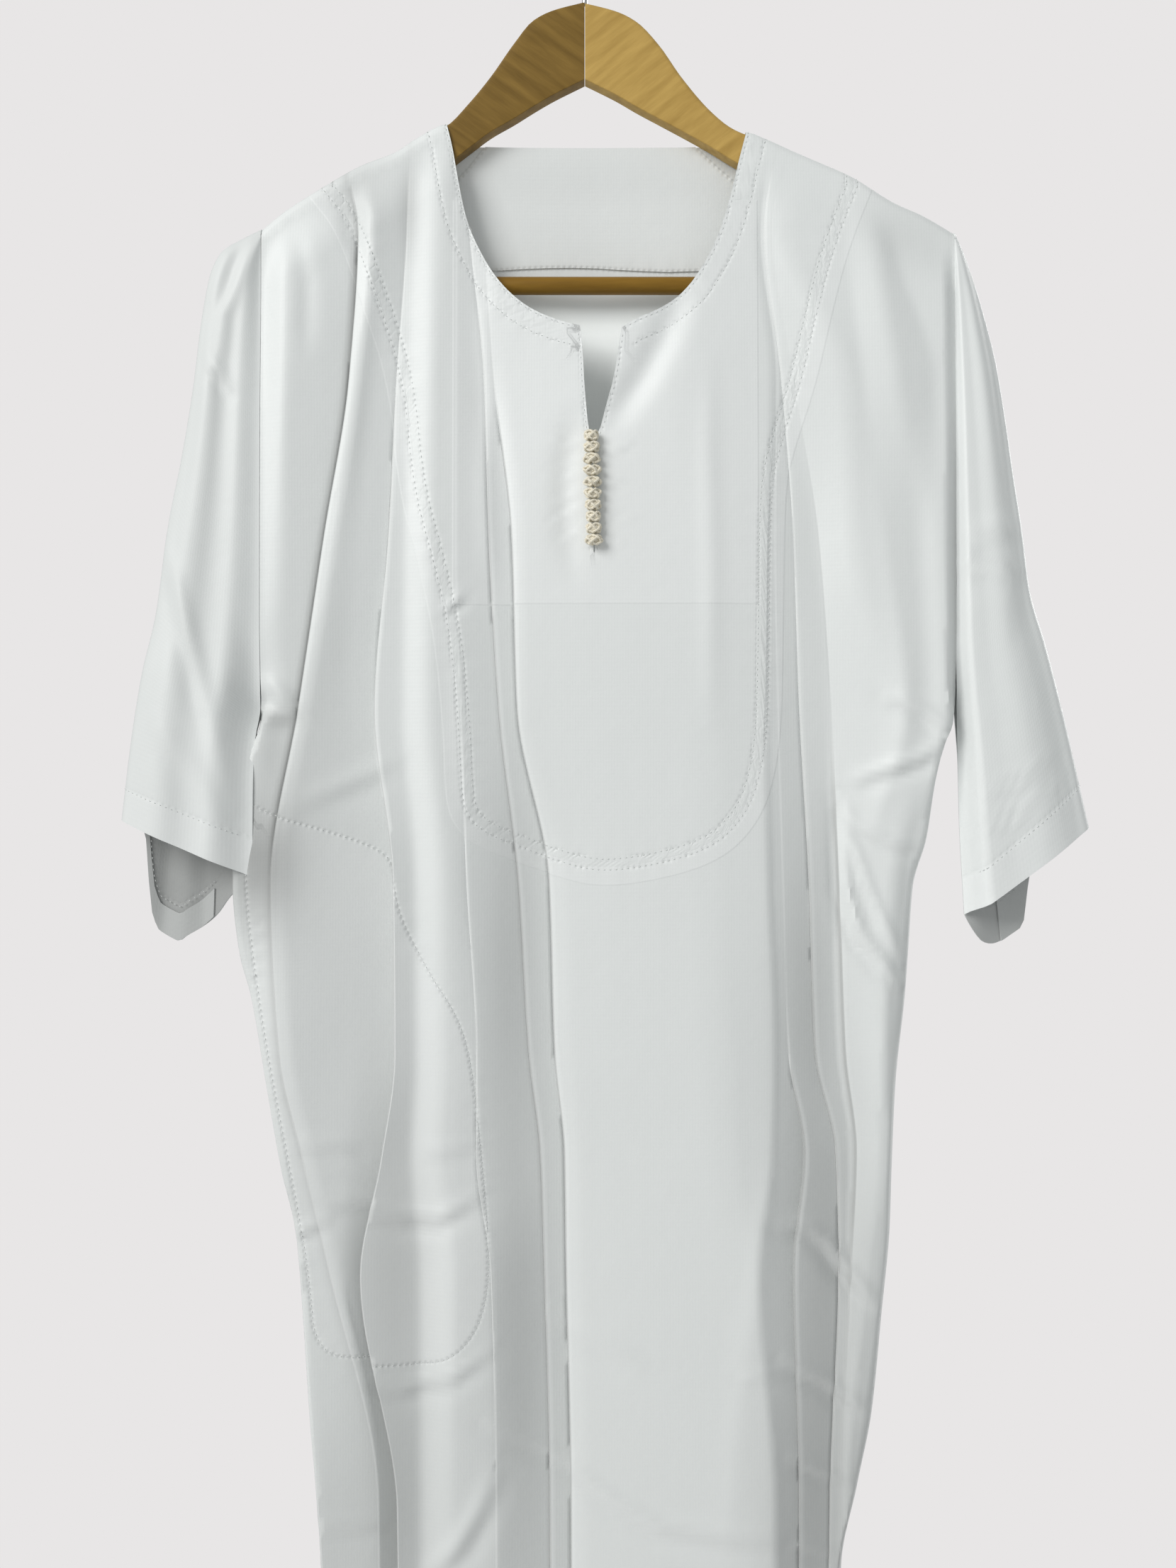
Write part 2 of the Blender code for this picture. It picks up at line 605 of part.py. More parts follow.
def cloth_mesh(name, middle, normals, faces, offset):
    """Closed wall round the faces, its middle moved out by the offset."""
    a, b, c = (middle[faces[:, i]] for i in range(3))
    if (np.cross(b - a, c - a) * normals[faces[:, 0]]).sum() < 0:
        faces = faces[:, ::-1]
    used, faces = np.unique(faces, return_inverse=True)
    faces = faces.reshape(-1, 3)
    count = len(used)
    outer = middle[used] + normals[used] * (offset + WALL / 2)
    inner = middle[used] + normals[used] * (offset - WALL / 2)
    edges = {(int(s), int(e)) for face in faces for s, e in zip(face, np.roll(face, -1))}
    walls = [(e, s, s + count, e + count) for s, e in edges if (e, s) not in edges]
    polygons = [tuple(int(i) for i in face) for face in faces]
    polygons += [tuple(int(i) + count for i in reversed(face)) for face in faces]
    mesh = bpy.data.meshes.new(name)
    mesh.from_pydata(np.concatenate([outer, inner]) * MM, [], polygons + walls)
    mesh.validate()
    mesh.shade_smooth()
    mesh.set_sharp_from_angle(angle=math.radians(50))
    return mesh


def net_piece(name, net, chosen, surface, way, offset, material):
    places, faces = net
    x, w = places[:, 0], places[:, 1]
    normals = normals_of(surface, x, w, -way)
    at_sleeve = np.minimum(abs(x - SLEEVE_SEAM["left"]), abs(x - SLEEVE_SEAM["right"])) < 0.01
    normals[at_sleeve] = squared(normals[at_sleeve])
    mesh = cloth_mesh(name, surface(x, w), normals, faces[chosen], offset)
    add_object(name, mesh, material)


def centres(net):
    places, faces = net
    return places[faces].mean(axis=1)


def make_front(materials):
    """Bib, body, neck facing and pocket bag, all from one net."""
    seam = round_off(heights(BIB_SEAM))
    seam = divide([topped(seam[0]), *seam, topped(seam[-1])], EDGE_STEP)
    outside = shifted(seam, -BIB_GAP / 2)
    within = shifted(seam, BIB_GAP / 2)
    neck = heights(NECKLINE)
    neck = [topped(neck[0]), *neck, topped(neck[-1])]
    bib = divide(neck, EDGE_STEP) + divide(shoulder_line(neck[-1][0], within[-1][0]), EDGE_STEP)[1:]
    bib += within[::-1][1:] + divide(shoulder_line(within[0][0], neck[0][0]), EDGE_STEP)[1:-1]
    left, right = side_line(1), side_line(3)
    body = outside + divide(shoulder_line(outside[-1][0], right[0][0]), EDGE_STEP)[1:-1]
    body += divide(right, EDGE_STEP)[:-1] + divide([right[-1], left[-1]], HEM_STEP)[:-1]
    body += divide(left[::-1], EDGE_STEP)[:-1]
    body += divide(shoulder_line(left[0][0], outside[0][0]), EDGE_STEP)[:-1]
    edge = FRONT_FACING
    facing = divide(
        [(edge["left"], -edge["top"]), (edge["left"], -edge["low"]),
         (edge["right"], -edge["low"]), (edge["right"], -edge["top"])], EDGE_STEP)
    pocket = divide(heights(POCKET_BAG), EDGE_STEP)
    loops = [bib, body, facing, pocket]
    net = plane_net(loops, panel_points(loops, FRONT_FOLDS, FRONT_NET))
    middle = centres(net)
    in_bib = inside(bib, middle)
    in_body = inside(body, middle)
    cloth, lining = materials["cloth"], materials["facing"]
    net_piece("front_bib", net, in_bib, front_surface, -1, 0.0, cloth)
    net_piece("front_body", net, in_body, front_surface, -1, 0.0, cloth)
    chosen = in_bib & inside(facing, middle)
    net_piece("front_neck_facing", net, chosen, front_surface, -1, -LAYER, lining)
    chosen = in_body & inside(pocket, middle)
    net_piece("pocket_bag", net, chosen, front_surface, -1, -LAYER, lining)


def make_back(materials):
    """Back and back neck facing, from one net."""
    neck = heights(BACK_NECKLINE)
    neck = [topped(neck[0]), *neck, topped(neck[-1])]
    left, right = side_line(1), side_line(3)
    back = divide(neck, EDGE_STEP)[:-1] + divide(shoulder_line(neck[-1][0], right[0][0]), EDGE_STEP)[:-1]
    back += divide(right, EDGE_STEP)[:-1] + divide([right[-1], left[-1]], HEM_STEP)[:-1]
    back += divide(left[::-1], EDGE_STEP)[:-1]
    back += divide(shoulder_line(left[0][0], neck[0][0]), EDGE_STEP)[:-1]
    facing = divide(heights(BACK_FACING), EDGE_STEP)
    loops = [back, facing]
    net = plane_net(loops, panel_points(loops, BACK_FOLDS, BACK_NET))
    middle = centres(net)
    in_back = inside(back, middle)
    net_piece("back_body", net, in_back, back_surface, 1, 0.0, materials["cloth"])
    chosen = in_back & inside(facing, middle)
    net_piece("back_neck_facing", net, chosen, back_surface, 1, -LAYER, materials["facing"])


def sleeve_surface(side):
    """Surface of a sleeve: round it from 0 (front seam) to 2 (back seam), and along it."""
    rings = SLEEVE_RINGS[side]
    places = np.arange(len(rings))
    sag_places = [row[0] for row in CUFF_SAG[side]]
    sag_drops = [row[1] for row in CUFF_SAG[side]]

    def surface(around, along):
        inner_x, inner_drop, outer_x, outer_drop, front, back, seam_y, half = (
            smooth_line(places, [row[k] for row in rings], along) for k in range(8))
        is_front = around <= 1.0
        t = np.where(is_front, around, 2.0 - around)
        turn = t * math.pi / 2
        share = np.sin(turn)
        open_up = ease(t / OPENING_SHARE)
        reach = np.where(is_front, -front, back) * np.cos(turn)
        seam = seam_y + np.where(is_front, -half, half)
        y = seam + (reach - seam) * open_up
        for fold_side, at_top, at_cuff, width, height in SLEEVE_FOLDS:
            if fold_side == side:
                place = at_top + (at_cuff - at_top) * along / places[-1]
                bump = ease(1 - np.abs(around - place) / width) * ease(along / (SAG_START - 1))
                y = y + np.where(is_front, -1.0, 1.0) * height * bump
        x = inner_x + (outer_x - inner_x) * share
        drop = inner_drop + (outer_drop - inner_drop) * share
        lower = ease((along - SAG_START) / (places[-1] - SAG_START))
        drop = drop + smooth_line(sag_places, sag_drops, around) * lower
        return np.stack([x, y, -drop], axis=-1)

    return surface


def make_sleeve(side, materials):
    """A sleeve, open along its underarm seam, and the turned hem inside its cuff."""
    surface = sleeve_surface(side)
    last = len(SLEEVE_RINGS[side]) - 1
    hem_top = last - CUFF_HEM / RING_LENGTH
    along = np.append(np.linspace(0.0, hem_top, SLEEVE_ALONG), last)
    around = np.linspace(0.0, 2.0, SLEEVE_AROUND + 1)
    u, v = np.meshgrid(around, along)
    u, v = u.ravel(), v.ravel()
    middle = surface(u, v)
    width = SLEEVE_AROUND + 1
    quads = np.array([
        (r * width + c, r * width + c + 1, (r + 1) * width + c + 1, (r + 1) * width + c)
        for r in range(len(along) - 1) for c in range(SLEEVE_AROUND)])
    row, column = np.divmod(quads[:, 0], width)
    if side == "right":
        quads = quads[:, ::-1]
    faces = split(middle, quads)
    normals = mesh_normals(middle, faces)
    at_seam = (v == 0) | (u == 0) | (u == 2)
    normals[at_seam] = squared(normals[at_seam])
    mesh = cloth_mesh("sleeve_" + side, middle, normals, faces, 0.0)
    add_object("sleeve_" + side, mesh, materials["cloth"])
    hem = (row == len(along) - 2) & (column >= HEM_CLEAR) & (column < SLEEVE_AROUND - HEM_CLEAR)
    mesh = cloth_mesh("cuff_hem_" + side, middle, normals, faces[np.repeat(hem, 2)], -LAYER)
    add_object("cuff_hem_" + side, mesh, materials["cloth"])


def make_knots(materials):
    """Column of knotted buttons that closes the slit."""
    for k in range(KNOT_COUNT):
        share = k / (KNOT_COUNT - 1)
        x = KNOT_FIRST[0] + (KNOT_LAST[0] - KNOT_FIRST[0]) * share
        drop = KNOT_FIRST[1] + (KNOT_LAST[1] - KNOT_FIRST[1]) * share
        spot = front_surface(np.array([x]), np.array([-drop]))[0]
        spot[1] -= WALL / 2 + KNOT_CLEAR + KNOT_HALF[1]
        bpy.ops.mesh.primitive_uv_sphere_add(segments=10, ring_count=6, radius=1.0)
        knot = bpy.context.object
        knot.name = f"knot_{k + 1:02d}"
        knot.data.name = knot.name
        knot.data.materials.append(materials["cord"])
        knot.scale = [half * MM for half in KNOT_HALF]
        knot.location = [value * MM for value in spot]
        knot.data.shade_smooth()


def make_arm(side, materials):
    """One half of the hanger: its outline extruded to the wood's thickness."""
    way = -1 if side == "left" else 1
    rows = [(max(row[0], MITRE_GAP / 2), row[1], row[2]) for row in ARM_PROFILES[side]]
    outline = [(way * x, -top) for x, top, _ in rows] + [(way * x, -low) for x, _, low in rows[::-1]]
    count = len(outline)
    half = ARM_THICK / 2
    centre_line = {round(way * x, 4): -(top + low) / 2 for x, top, low in rows}
    layers = []
    for share in ARM_LAYERS:
        y = half * share
        inset_top = ARM_TOP_ROUND * (1 - math.sqrt(1 - share * share))
        inset_low = ARM_EDGE_ROUND if abs(share) == 1.0 else 0.0
        for x, z in outline:
            above = z > centre_line[round(x, 4)]
            layers.append((x, y, z - inset_top if above else z + inset_low))
    faces = [tuple(range(count)), tuple(range(len(layers) - 1, len(layers) - count - 1, -1))]
    for layer in range(len(layers) // count - 1):
        base = layer * count
        for i in range(count):
            j = (i + 1) % count
            faces.append((base + i, base + count + i, base + count + j, base + j))
    if side == "right":
        faces = [face[::-1] for face in faces]
    mesh = bpy.data.meshes.new("hanger_arm_" + side)
    mesh.from_pydata(np.array(layers) * MM, [], faces)
    mesh.shade_smooth()
    mesh.set_sharp_from_angle(angle=math.radians(35))
    add_object("hanger_arm_" + side, mesh, materials["wood"])


def make_bar(materials):
    """Round trouser bar between the arms' ends."""
    reach = BAR_REACH - SEAM_GAP
    bpy.ops.mesh.primitive_cylinder_add(vertices=20, radius=BAR_RADIUS * MM, depth=2 * reach * MM)
    bar = bpy.context.object
    bar.name = "hanger_bar"
    bar.data.name = bar.name
    bar.rotation_euler = (0.0, math.pi / 2, 0.0)
    bar.location = (0.0, 0.0, -BAR_DROP * MM)
    bar.data.materials.append(materials["wood"])
    bar.data.shade_smooth()
    bar.data.set_sharp_from_angle(angle=math.radians(50))


def make_hook(materials):
    """Wire hook: a round crook over the seat and a shank down to the wood."""
    radius = HOOK_INNER + HOOK_WIRE
    points = []
    for k in range(HOOK_BENDS + 1):
        angle = math.radians(HOOK_START + (HOOK_END - HOOK_START) * k / HOOK_BENDS)
        points.append((radius * math.cos(angle), 0.0, -HOOK_INNER + radius * math.sin(angle)))
    points += [(x, 0.0, height) for x, height in HOOK_SHANK]
    curve = bpy.data.curves.new("hanger_hook", "CURVE")
    curve.dimensions = "3D"
    curve.bevel_depth = HOOK_WIRE * MM
    curve.bevel_resolution = 2
    curve.use_fill_caps = True
    spline = curve.splines.new("POLY")
    spline.points.add(len(points) - 1)
    for point, place in zip(spline.points, points):
        point.co = (*(value * MM for value in place), 1.0)
    add_object("hanger_hook", curve, materials["steel"])


def main():
    remove_everything()
    materials = {name: make_material(name) for name in FINISHES}
    make_front(materials)
    make_back(materials)
    make_sleeve("left", materials)
    make_sleeve("right", materials)
    make_knots(materials)
    make_arm("left", materials)
    make_arm("right", materials)
    make_bar(materials)
    make_hook(materials)


main()
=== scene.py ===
import math

import bpy
import numpy as np
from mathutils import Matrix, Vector
from mathutils.geometry import delaunay_2d_cdt


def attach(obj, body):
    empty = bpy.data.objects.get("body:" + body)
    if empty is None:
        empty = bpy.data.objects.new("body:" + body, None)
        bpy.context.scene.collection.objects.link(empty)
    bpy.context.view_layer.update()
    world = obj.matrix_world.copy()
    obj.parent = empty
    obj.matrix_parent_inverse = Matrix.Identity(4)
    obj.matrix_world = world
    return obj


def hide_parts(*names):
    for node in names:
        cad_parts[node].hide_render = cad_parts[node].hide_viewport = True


# A white short-sleeved djellaba on a wooden clothes hanger. Tables are in millimetres from the seat
# of the hanger's hook: x to the right, drop down, out away from the garment's middle.
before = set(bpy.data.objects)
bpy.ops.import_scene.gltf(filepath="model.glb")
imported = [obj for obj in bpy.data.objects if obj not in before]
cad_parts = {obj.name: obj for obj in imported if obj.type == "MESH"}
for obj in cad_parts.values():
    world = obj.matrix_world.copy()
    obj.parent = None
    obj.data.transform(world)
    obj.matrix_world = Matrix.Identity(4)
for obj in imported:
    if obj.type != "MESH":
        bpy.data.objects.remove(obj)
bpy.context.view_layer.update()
mm = 0.001
bpy.ops.object.select_all(action="DESELECT")

cloth = {
    "wall": 0.8,            # thickness of the cloth as it shows
    "solidWall": 1.2,       # thickness in the solid model
    "layer": 1.15,          # how far inside a panel its facing or pocket lies
    "wrapReach": 7.0,       # half the garment's depth over the hanger's arms
    "wrapHeight": 6.5,      # rise of the cloth over an arm
    "wrapLength": 10.6,     # length of cloth from there to the shoulder seam
    "wrapEase": 38.0,       # drop over which the folds grow below an arm
    "hemDrop": 1474.0,
    "seamGap": 0.3,
    "sharpAngle": 60,
}

# the seam along the shoulders: x, drop
shoulderLine = (
    (-200.0, 215.0), (-187.5, 204.5), (-161.0, 187.5), (-139.0, 175.0), (-117.0, 166.3),
    (-103.6, 157.5), (-85.5, 149.3), (100.0, 154.0), (112.5, 158.4), (130.0, 166.3),
    (143.3, 172.0), (165.4, 181.8), (191.8, 198.0), (209.5, 206.0), (228.4, 217.0),
)

# side edges of the panels: a seam's value is how far back it lies, and the opening is half its width
sideColumns = ("drop", "left", "leftSeam", "right", "rightSeam", "opening")
sideEdges = (
    (140.0, -199.8, 0.0, 228.4, 0.0, 7.0),
    (250.0, -199.8, 0.0, 228.4, 0.0, 7.0),
    (340.0, -199.8, 0.0, 228.4, 0.0, 10.5),
    (460.0, -199.8, 0.0, 228.4, 0.0, 11.5),
    (498.0, -199.8, 0.0, 228.4, 0.0, 8.0),
    (512.0, -200.3, 0.3, 228.8, 0.0, 4.0),
    (522.0, -201.5, 1.0, 227.5, 0.0, 0.9),
    (534.0, -206.0, 2.0, 223.0, 0.0, 0.9),
    (556.0, -213.5, 3.0, 217.4, 0.0, 0.9),
    (592.0, -218.5, 3.0, 212.0, 0.0, 0.9),
    (622.0, -218.3, 1.5, 203.5, 0.0, 0.9),
    (662.0, -213.9, 0.0, 200.5, 0.0, 0.9),
    (689.0, -206.4, 0.0, 198.5, 0.0, 0.9),
    (746.0, -196.2, 0.0, 192.5, 0.0, 0.9),
    (795.0, -187.4, 0.0, 190.3, 0.0, 0.9),
    (834.0, -178.6, 0.0, 189.0, 0.0, 0.9),
    (887.0, -174.2, 0.0, 184.0, 0.0, 0.9),
    (949.0, -170.0, 0.0, 177.7, 0.0, 0.9),
    (993.0, -166.2, 0.0, 169.0, 0.0, 0.9),
    (1047.0, -163.2, 0.0, 158.8, 0.0, 0.9),
    (cloth["hemDrop"], -168.0, 0.0, 164.0, 0.0, 0.9),
)

# drops at which the front's fold lines are given
foldDrops = (150, 221, 310, 407, 513, 618, 724, 786, 856, 998, 1474)

# fold lines of the front, left to right: name, rounding, x and out at each fold drop;
# a foot ends the steep step that starts at the line before it
frontFolds = (
    ("armhole crest", 5.0,
     (-174, -171, -183, -193, -197, -209, -192, -182, -174, -163, -164),
     (7, 13, 16.5, 15.5, 12, 15, 21, 22, 21, 22, 23)),
    ("deep crease", 0.1,
     (-157, -140, -145, -160, -176, -192, -186, -172, -156, -127, -123),
     (7, 8, 8, 8.5, 9, 18, 22.5, 22.3, 19, 15, 16)),
    ("ridge foot", 0.1,
     (-155, -135, -146.5, -161.5, -177.5, -192.5, -185.5, -171.5, -155.5, -125.5, -121.5),
     (7, 10, 15, 17, 16.5, 19.8, 23.6, 23, 19.6, 15.2, 16.2)),
    ("main ridge", 1.5,
     (-143, -131, -138, -152, -169, -184, -178, -165, -150, -124, -120),
     (7, 15.5, 16.3, 18.5, 17, 20, 24, 23, 19, 13.5, 14.5)),
    ("side ridge", 4.0,
     (-122, -122, -131, -141, -148, -142, -137, -144, -146, -122, -118),
     (7, 12, 12.5, 14.5, 10.5, 11.5, 14, 17, 17.5, 12, 13)),
    ("second crease", 0.1,
     (-108, -110, -116, -121, -129, -117, -116, -124, -136, -114, -110),
     (6.5, 8, 8.5, 9.5, 6, 6, 8, 9, 10, 7, 8)),
    ("crease foot", 0.1,
     (-115.5, -107.5, -114, -120.5, -125.5, -115.5, -116.5, -123.5, -135, -112.5, -108.5),
     (7, 8.3, 9.3, 13.8, 18, 24.5, 26, 26, 31, 29, 31)),
    ("ridge hollow", 3.0,
     (-101, -104, -107, -110, -111, -103, -102, -105, -100, -99, -96),
     (8, 9, 10, 12.5, 15.5, 20, 21, 19.5, 20, 23, 25)),
    ("left ridge", 5.0,
     (-93, -94, -95, -96, -96, -87, -86, -89, -81, -82, -80),
     (9.5, 13, 15.5, 18, 20.5, 25.5, 26, 25.5, 28.5, 28.5, 30.5)),
    ("layer edge", 1.5,
     (-85, -86, -86, -86, -84, -78, -76, -79, -74, -74, -72),
     (9, 12.5, 14, 16.5, 18, 23.5, 24.5, 24, 27.5, 27.5, 29.7)),
    ("under layer", 0.1,
     (-82, -79, -79, -79, -76, -72, -66, -66, -57, -54, -53),
     (7, 11, 13, 15.5, 17, 21, 22, 20.5, 24, 24, 26)),
    ("under foot", 0.1,
     (-80.5, -77.8, -77.8, -77.8, -74.8, -70.8, -64.8, -64.8, -55.8, -52.8, -51.8),
     (7, 11, 13, 15.5, 17, 21.6, 22.6, 22, 25, 24.4, 26.4)),
    ("left valley", 0.1,
     (-77, -71, -62, -59, -53, -41, -34.5, -27.5, -25, -21.5, -20),
     (7, 9, 8.5, 10.5, 10, 10, 10.5, 9, 10, 9.5, 11)),
    ("valley foot", 0.1,
     (-75, -70, -61, -59, -52, -42, -36, -29, -26, -22, -21),
     (7, 9.5, 9.5, 12.5, 12.5, 13, 13, 12, 12.5, 12, 13.5)),
    ("shelf end", 0.1,
     (-66, -62, -56, -45, -41.5, -22, -18.5, -12.5, -11.5, -8.5, -7.5),
     (7.5, 10, 9.8, 9, 9.8, 8, 8.5, 8, 8.5, 8, 9.5)),
    ("panel foot", 0.1,
     (-64, -60.8, -56.8, -44.8, -40.8, -21.8, -17.8, -11.8, -10.8, -7.8, -6.8),
     (7.5, 10.2, 10.4, 17, 19, 17.3, 17, 17, 18, 19, 21)),
    ("panel left", 3.0,
     (-55, -55, -51, -38, -36, -12, -8, -4, -3, 0, 2),
     (8, 11, 12, 18.4, 20, 19, 19, 19, 20, 21, 23)),
    ("panel middle", 16.0,
     (7, 7, 5, 8, 20, 24, 29, 32, 33, 35, 35),
     (8, 13.5, 17, 20, 21.5, 21, 21, 21, 22.5, 24, 26)),
    ("panel right", 12.0,
     (82, 64, 60, 77, 77, 77, 82, 86, 95, 95, 97),
     (8, 14, 20, 21.5, 22, 22.5, 23, 24, 25, 27, 28)),
    ("right edge", 1.0,
     (112, 105, 114, 111, 110, 112, 116, 114, 105, 115, 117),
     (7, 11.5, 15.5, 18.5, 18.5, 19.5, 18, 20, 25.5, 27.5, 29)),
    ("right under", 1.0,
     (115, 107, 116, 113, 112, 114, 118, 117, 115, 121, 123),
     (7, 11, 14.5, 17, 17, 17.5, 16, 17.5, 20, 23, 24)),
    ("right slope", 0.1,
     (117, 108, 117.5, 116, 118, 121, 125, 135, 128, 131, 131),
     (7, 10.8, 14, 16.2, 15, 15, 13, 8.5, 13, 17, 20)),
    ("slope foot", 0.1,
     (118.2, 109.2, 118.7, 117.2, 119.2, 122.2, 126.2, 136.2, 129.2, 132.2, 132.2),
     (7, 10.8, 14, 16.2, 15, 15, 13.5, 14.5, 17.5, 19, 21)),
    ("right valley", 0.1,
     (121, 110.5, 120.5, 128, 132, 138, 142, 155, 157, 151, 146),
     (7, 11, 13.5, 13, 10.5, 9, 6.5, 5.5, 5, 9, 13)),
    ("right foot", 0.1,
     (124, 112.5, 123, 131, 133.2, 139.2, 143.4, 156.4, 158.4, 152.4, 147.4),
     (7, 12, 14.5, 13.5, 12, 11, 9.5, 7.5, 6.8, 10.5, 14)),
    ("right shelf", 2.5,
     (130, 115, 127, 143, 151, 156, 160, 167, 164, 157, 151),
     (7, 12.5, 15, 11.5, 9.4, 6.8, 5.5, 4.8, 6.2, 9.5, 13)),
    ("shelf foot", 0.1,
     (131.5, 116.2, 128.2, 136.2, 142.2, 156.2, 161.2, 168.2, 165.2, 158.2, 152.2),
     (7, 12.8, 15.2, 11.7, 9.6, 11, 11, 8.8, 8, 10.5, 14)),
    ("right crest", 6.0,
     (157, 123, 159, 163, 183, 168, 174, 179, 171, 160, 155),
     (7, 14, 20, 19, 16, 14, 14, 12.5, 10.5, 11.5, 14.5)),
    ("right hollow", 2.5,
     (172, 161, 170, 183, 196, 172, 179, 182, 174, 161.5, 157),
     (7, 12, 18.5, 19.5, 20, 14.5, 15.5, 13, 10.5, 11.5, 14.5)),
    ("outer crest", 5.0,
     (196, 179, 190, 205, 209, 190, 186, 185, 179.5, 163.5, 159.5),
     (7, 14.5, 21, 16.5, 17, 17, 17.5, 13.5, 10, 11, 13.5)),
    ("right side", 3.0,
     (207, 190, 214, 215, 219, 198, 189, 187.5, 183, 166, 162),
     (7, 11.5, 15, 18.5, 19, 12, 12, 11, 8.5, 9.5, 11)),
)

backDrops = (150, 250, 380, 510, 600, 720, 860, 1050, 1474)

# fold lines of the back: name, rounding, x and out at each back drop
backFolds = (
    ("left side", 14.0,
     (-180, -182, -182, -180, -192, -182, -164, -150, -154), (7, 12, 15, 12, 11, 13, 14, 14, 16)),
    ("left hollow", 14.0,
     (-140, -142, -140, -134, -140, -132, -122, -112, -114), (7, 9, 10, 9, 9, 9, 8, 8, 10)),
    ("left crest", 14.0,
     (-98, -98, -94, -88, -92, -90, -82, -76, -80), (7, 14, 19, 22, 23, 25, 27, 29, 31)),
    ("neck hollow left", 14.0,
     (-60, -58, -52, -46, -46, -42, -38, -34, -36), (8, 11, 13, 13, 13, 12, 11, 11, 13)),
    ("middle", 14.0,
     (6, 6, 2, 2, 4, 6, 8, 10, 10), (9, 14, 19, 23, 25, 27, 29, 31, 33)),
    ("neck hollow right", 14.0,
     (74, 72, 60, 54, 52, 50, 50, 50, 52), (8, 11, 13, 13, 12, 12, 11, 11, 13)),
    ("right crest", 14.0,
     (106, 106, 104, 100, 98, 96, 96, 92, 94), (7, 14, 19, 22, 23, 25, 26, 27, 29)),
    ("right hollow", 14.0,
     (150, 150, 150, 146, 140, 134, 130, 120, 124), (7, 9, 10, 10, 9, 9, 8, 8, 10)),
    ("right side", 14.0,
     (194, 196, 198, 196, 186, 174, 166, 142, 146), (7, 12, 15, 14, 13, 13, 13, 12, 14)),
)

# neckline and slit of the bib: x, drop
neckCurves = {
    "left": (
        (-85.1, 152.0), (-81.6, 166.0), (-78.0, 188.0), (-72.8, 213.0), (-64.5, 231.0),
        (-56.4, 245.0), (-46.3, 257.0), (-33.0, 267.5), (-15.4, 275.0), (-3.0, 278.0),
    ),
    "slitLeft": ((-3.0, 278.0), (-1.3, 292.0), (0.0, 318.5), (2.4, 343.0), (4.6, 348.0), (5.4, 417.5)),
    "slitRight": (
        (6.2, 417.5), (5.4, 348.0), (9.0, 343.0), (12.0, 332.0), (18.0, 310.0), (21.2, 288.0), (22.5, 280.0),
    ),
    "right": (
        (22.5, 280.0), (28.7, 275.5), (46.3, 268.0), (61.7, 257.0), (72.8, 241.0), (82.5, 221.5),
        (90.4, 195.0), (94.8, 175.0), (99.6, 157.0),
    ),
}

# from here each edge and seam is a line of x, drop
backNeckline = (
    (-85.1, 152.0), (-80.0, 158.5), (-68.0, 161.0), (0.0, 161.5),
    (80.0, 161.0), (93.0, 159.0), (99.6, 156.0),
)

bibSeam = (
    (-161.0, 190.0), (-143.0, 213.0), (-126.0, 261.0), (-110.0, 310.0), (-103.6, 376.0),
    (-90.4, 424.0), (-80.7, 468.0), (-75.0, 530.0), (-74.0, 565.0), (-70.0, 579.0),
    (-59.5, 588.0), (-37.5, 597.0), (-11.0, 606.0), (11.0, 611.0), (46.0, 606.0),
    (77.0, 596.0), (95.0, 579.0), (104.5, 557.0), (109.5, 526.0), (110.7, 468.0),
    (111.6, 380.0), (117.0, 354.0), (131.0, 312.0), (140.0, 270.0), (152.0, 226.0),
    (166.5, 190.0),
)

backFacingEdge = (
    (-60.0, 158.0), (-76.0, 178.0), (-94.0, 192.0), (-98.0, 235.5), (-60.0, 237.2),
    (-30.0, 235.0), (0.0, 234.2), (30.0, 236.4), (60.0, 237.8), (108.0, 234.6), (106.0, 190.0),
    (90.0, 180.0), (66.0, 158.0),
)

facingEdge = ((-81.0, 200.0), (-81.0, 449.0), (106.0, 449.0), (106.0, 200.0))

pocketEdge = (
    (-204.0, 572.0), (-186.5, 580.0), (-165.0, 586.0), (-143.0, 593.0), (-126.0, 600.0),
    (-118.0, 609.0), (-113.0, 640.0), (-95.0, 673.0), (-77.0, 700.0), (-69.0, 729.0),
    (-64.0, 777.0), (-57.3, 850.0), (-62.0, 883.0), (-73.0, 901.0), (-92.0, 912.0),
    (-128.0, 911.0), (-164.0, 907.0), (-168.0, 860.0), (-176.0, 810.0), (-190.0, 740.0),
    (-202.0, 670.0), (-208.0, 620.0), (-207.0, 590.0),
)

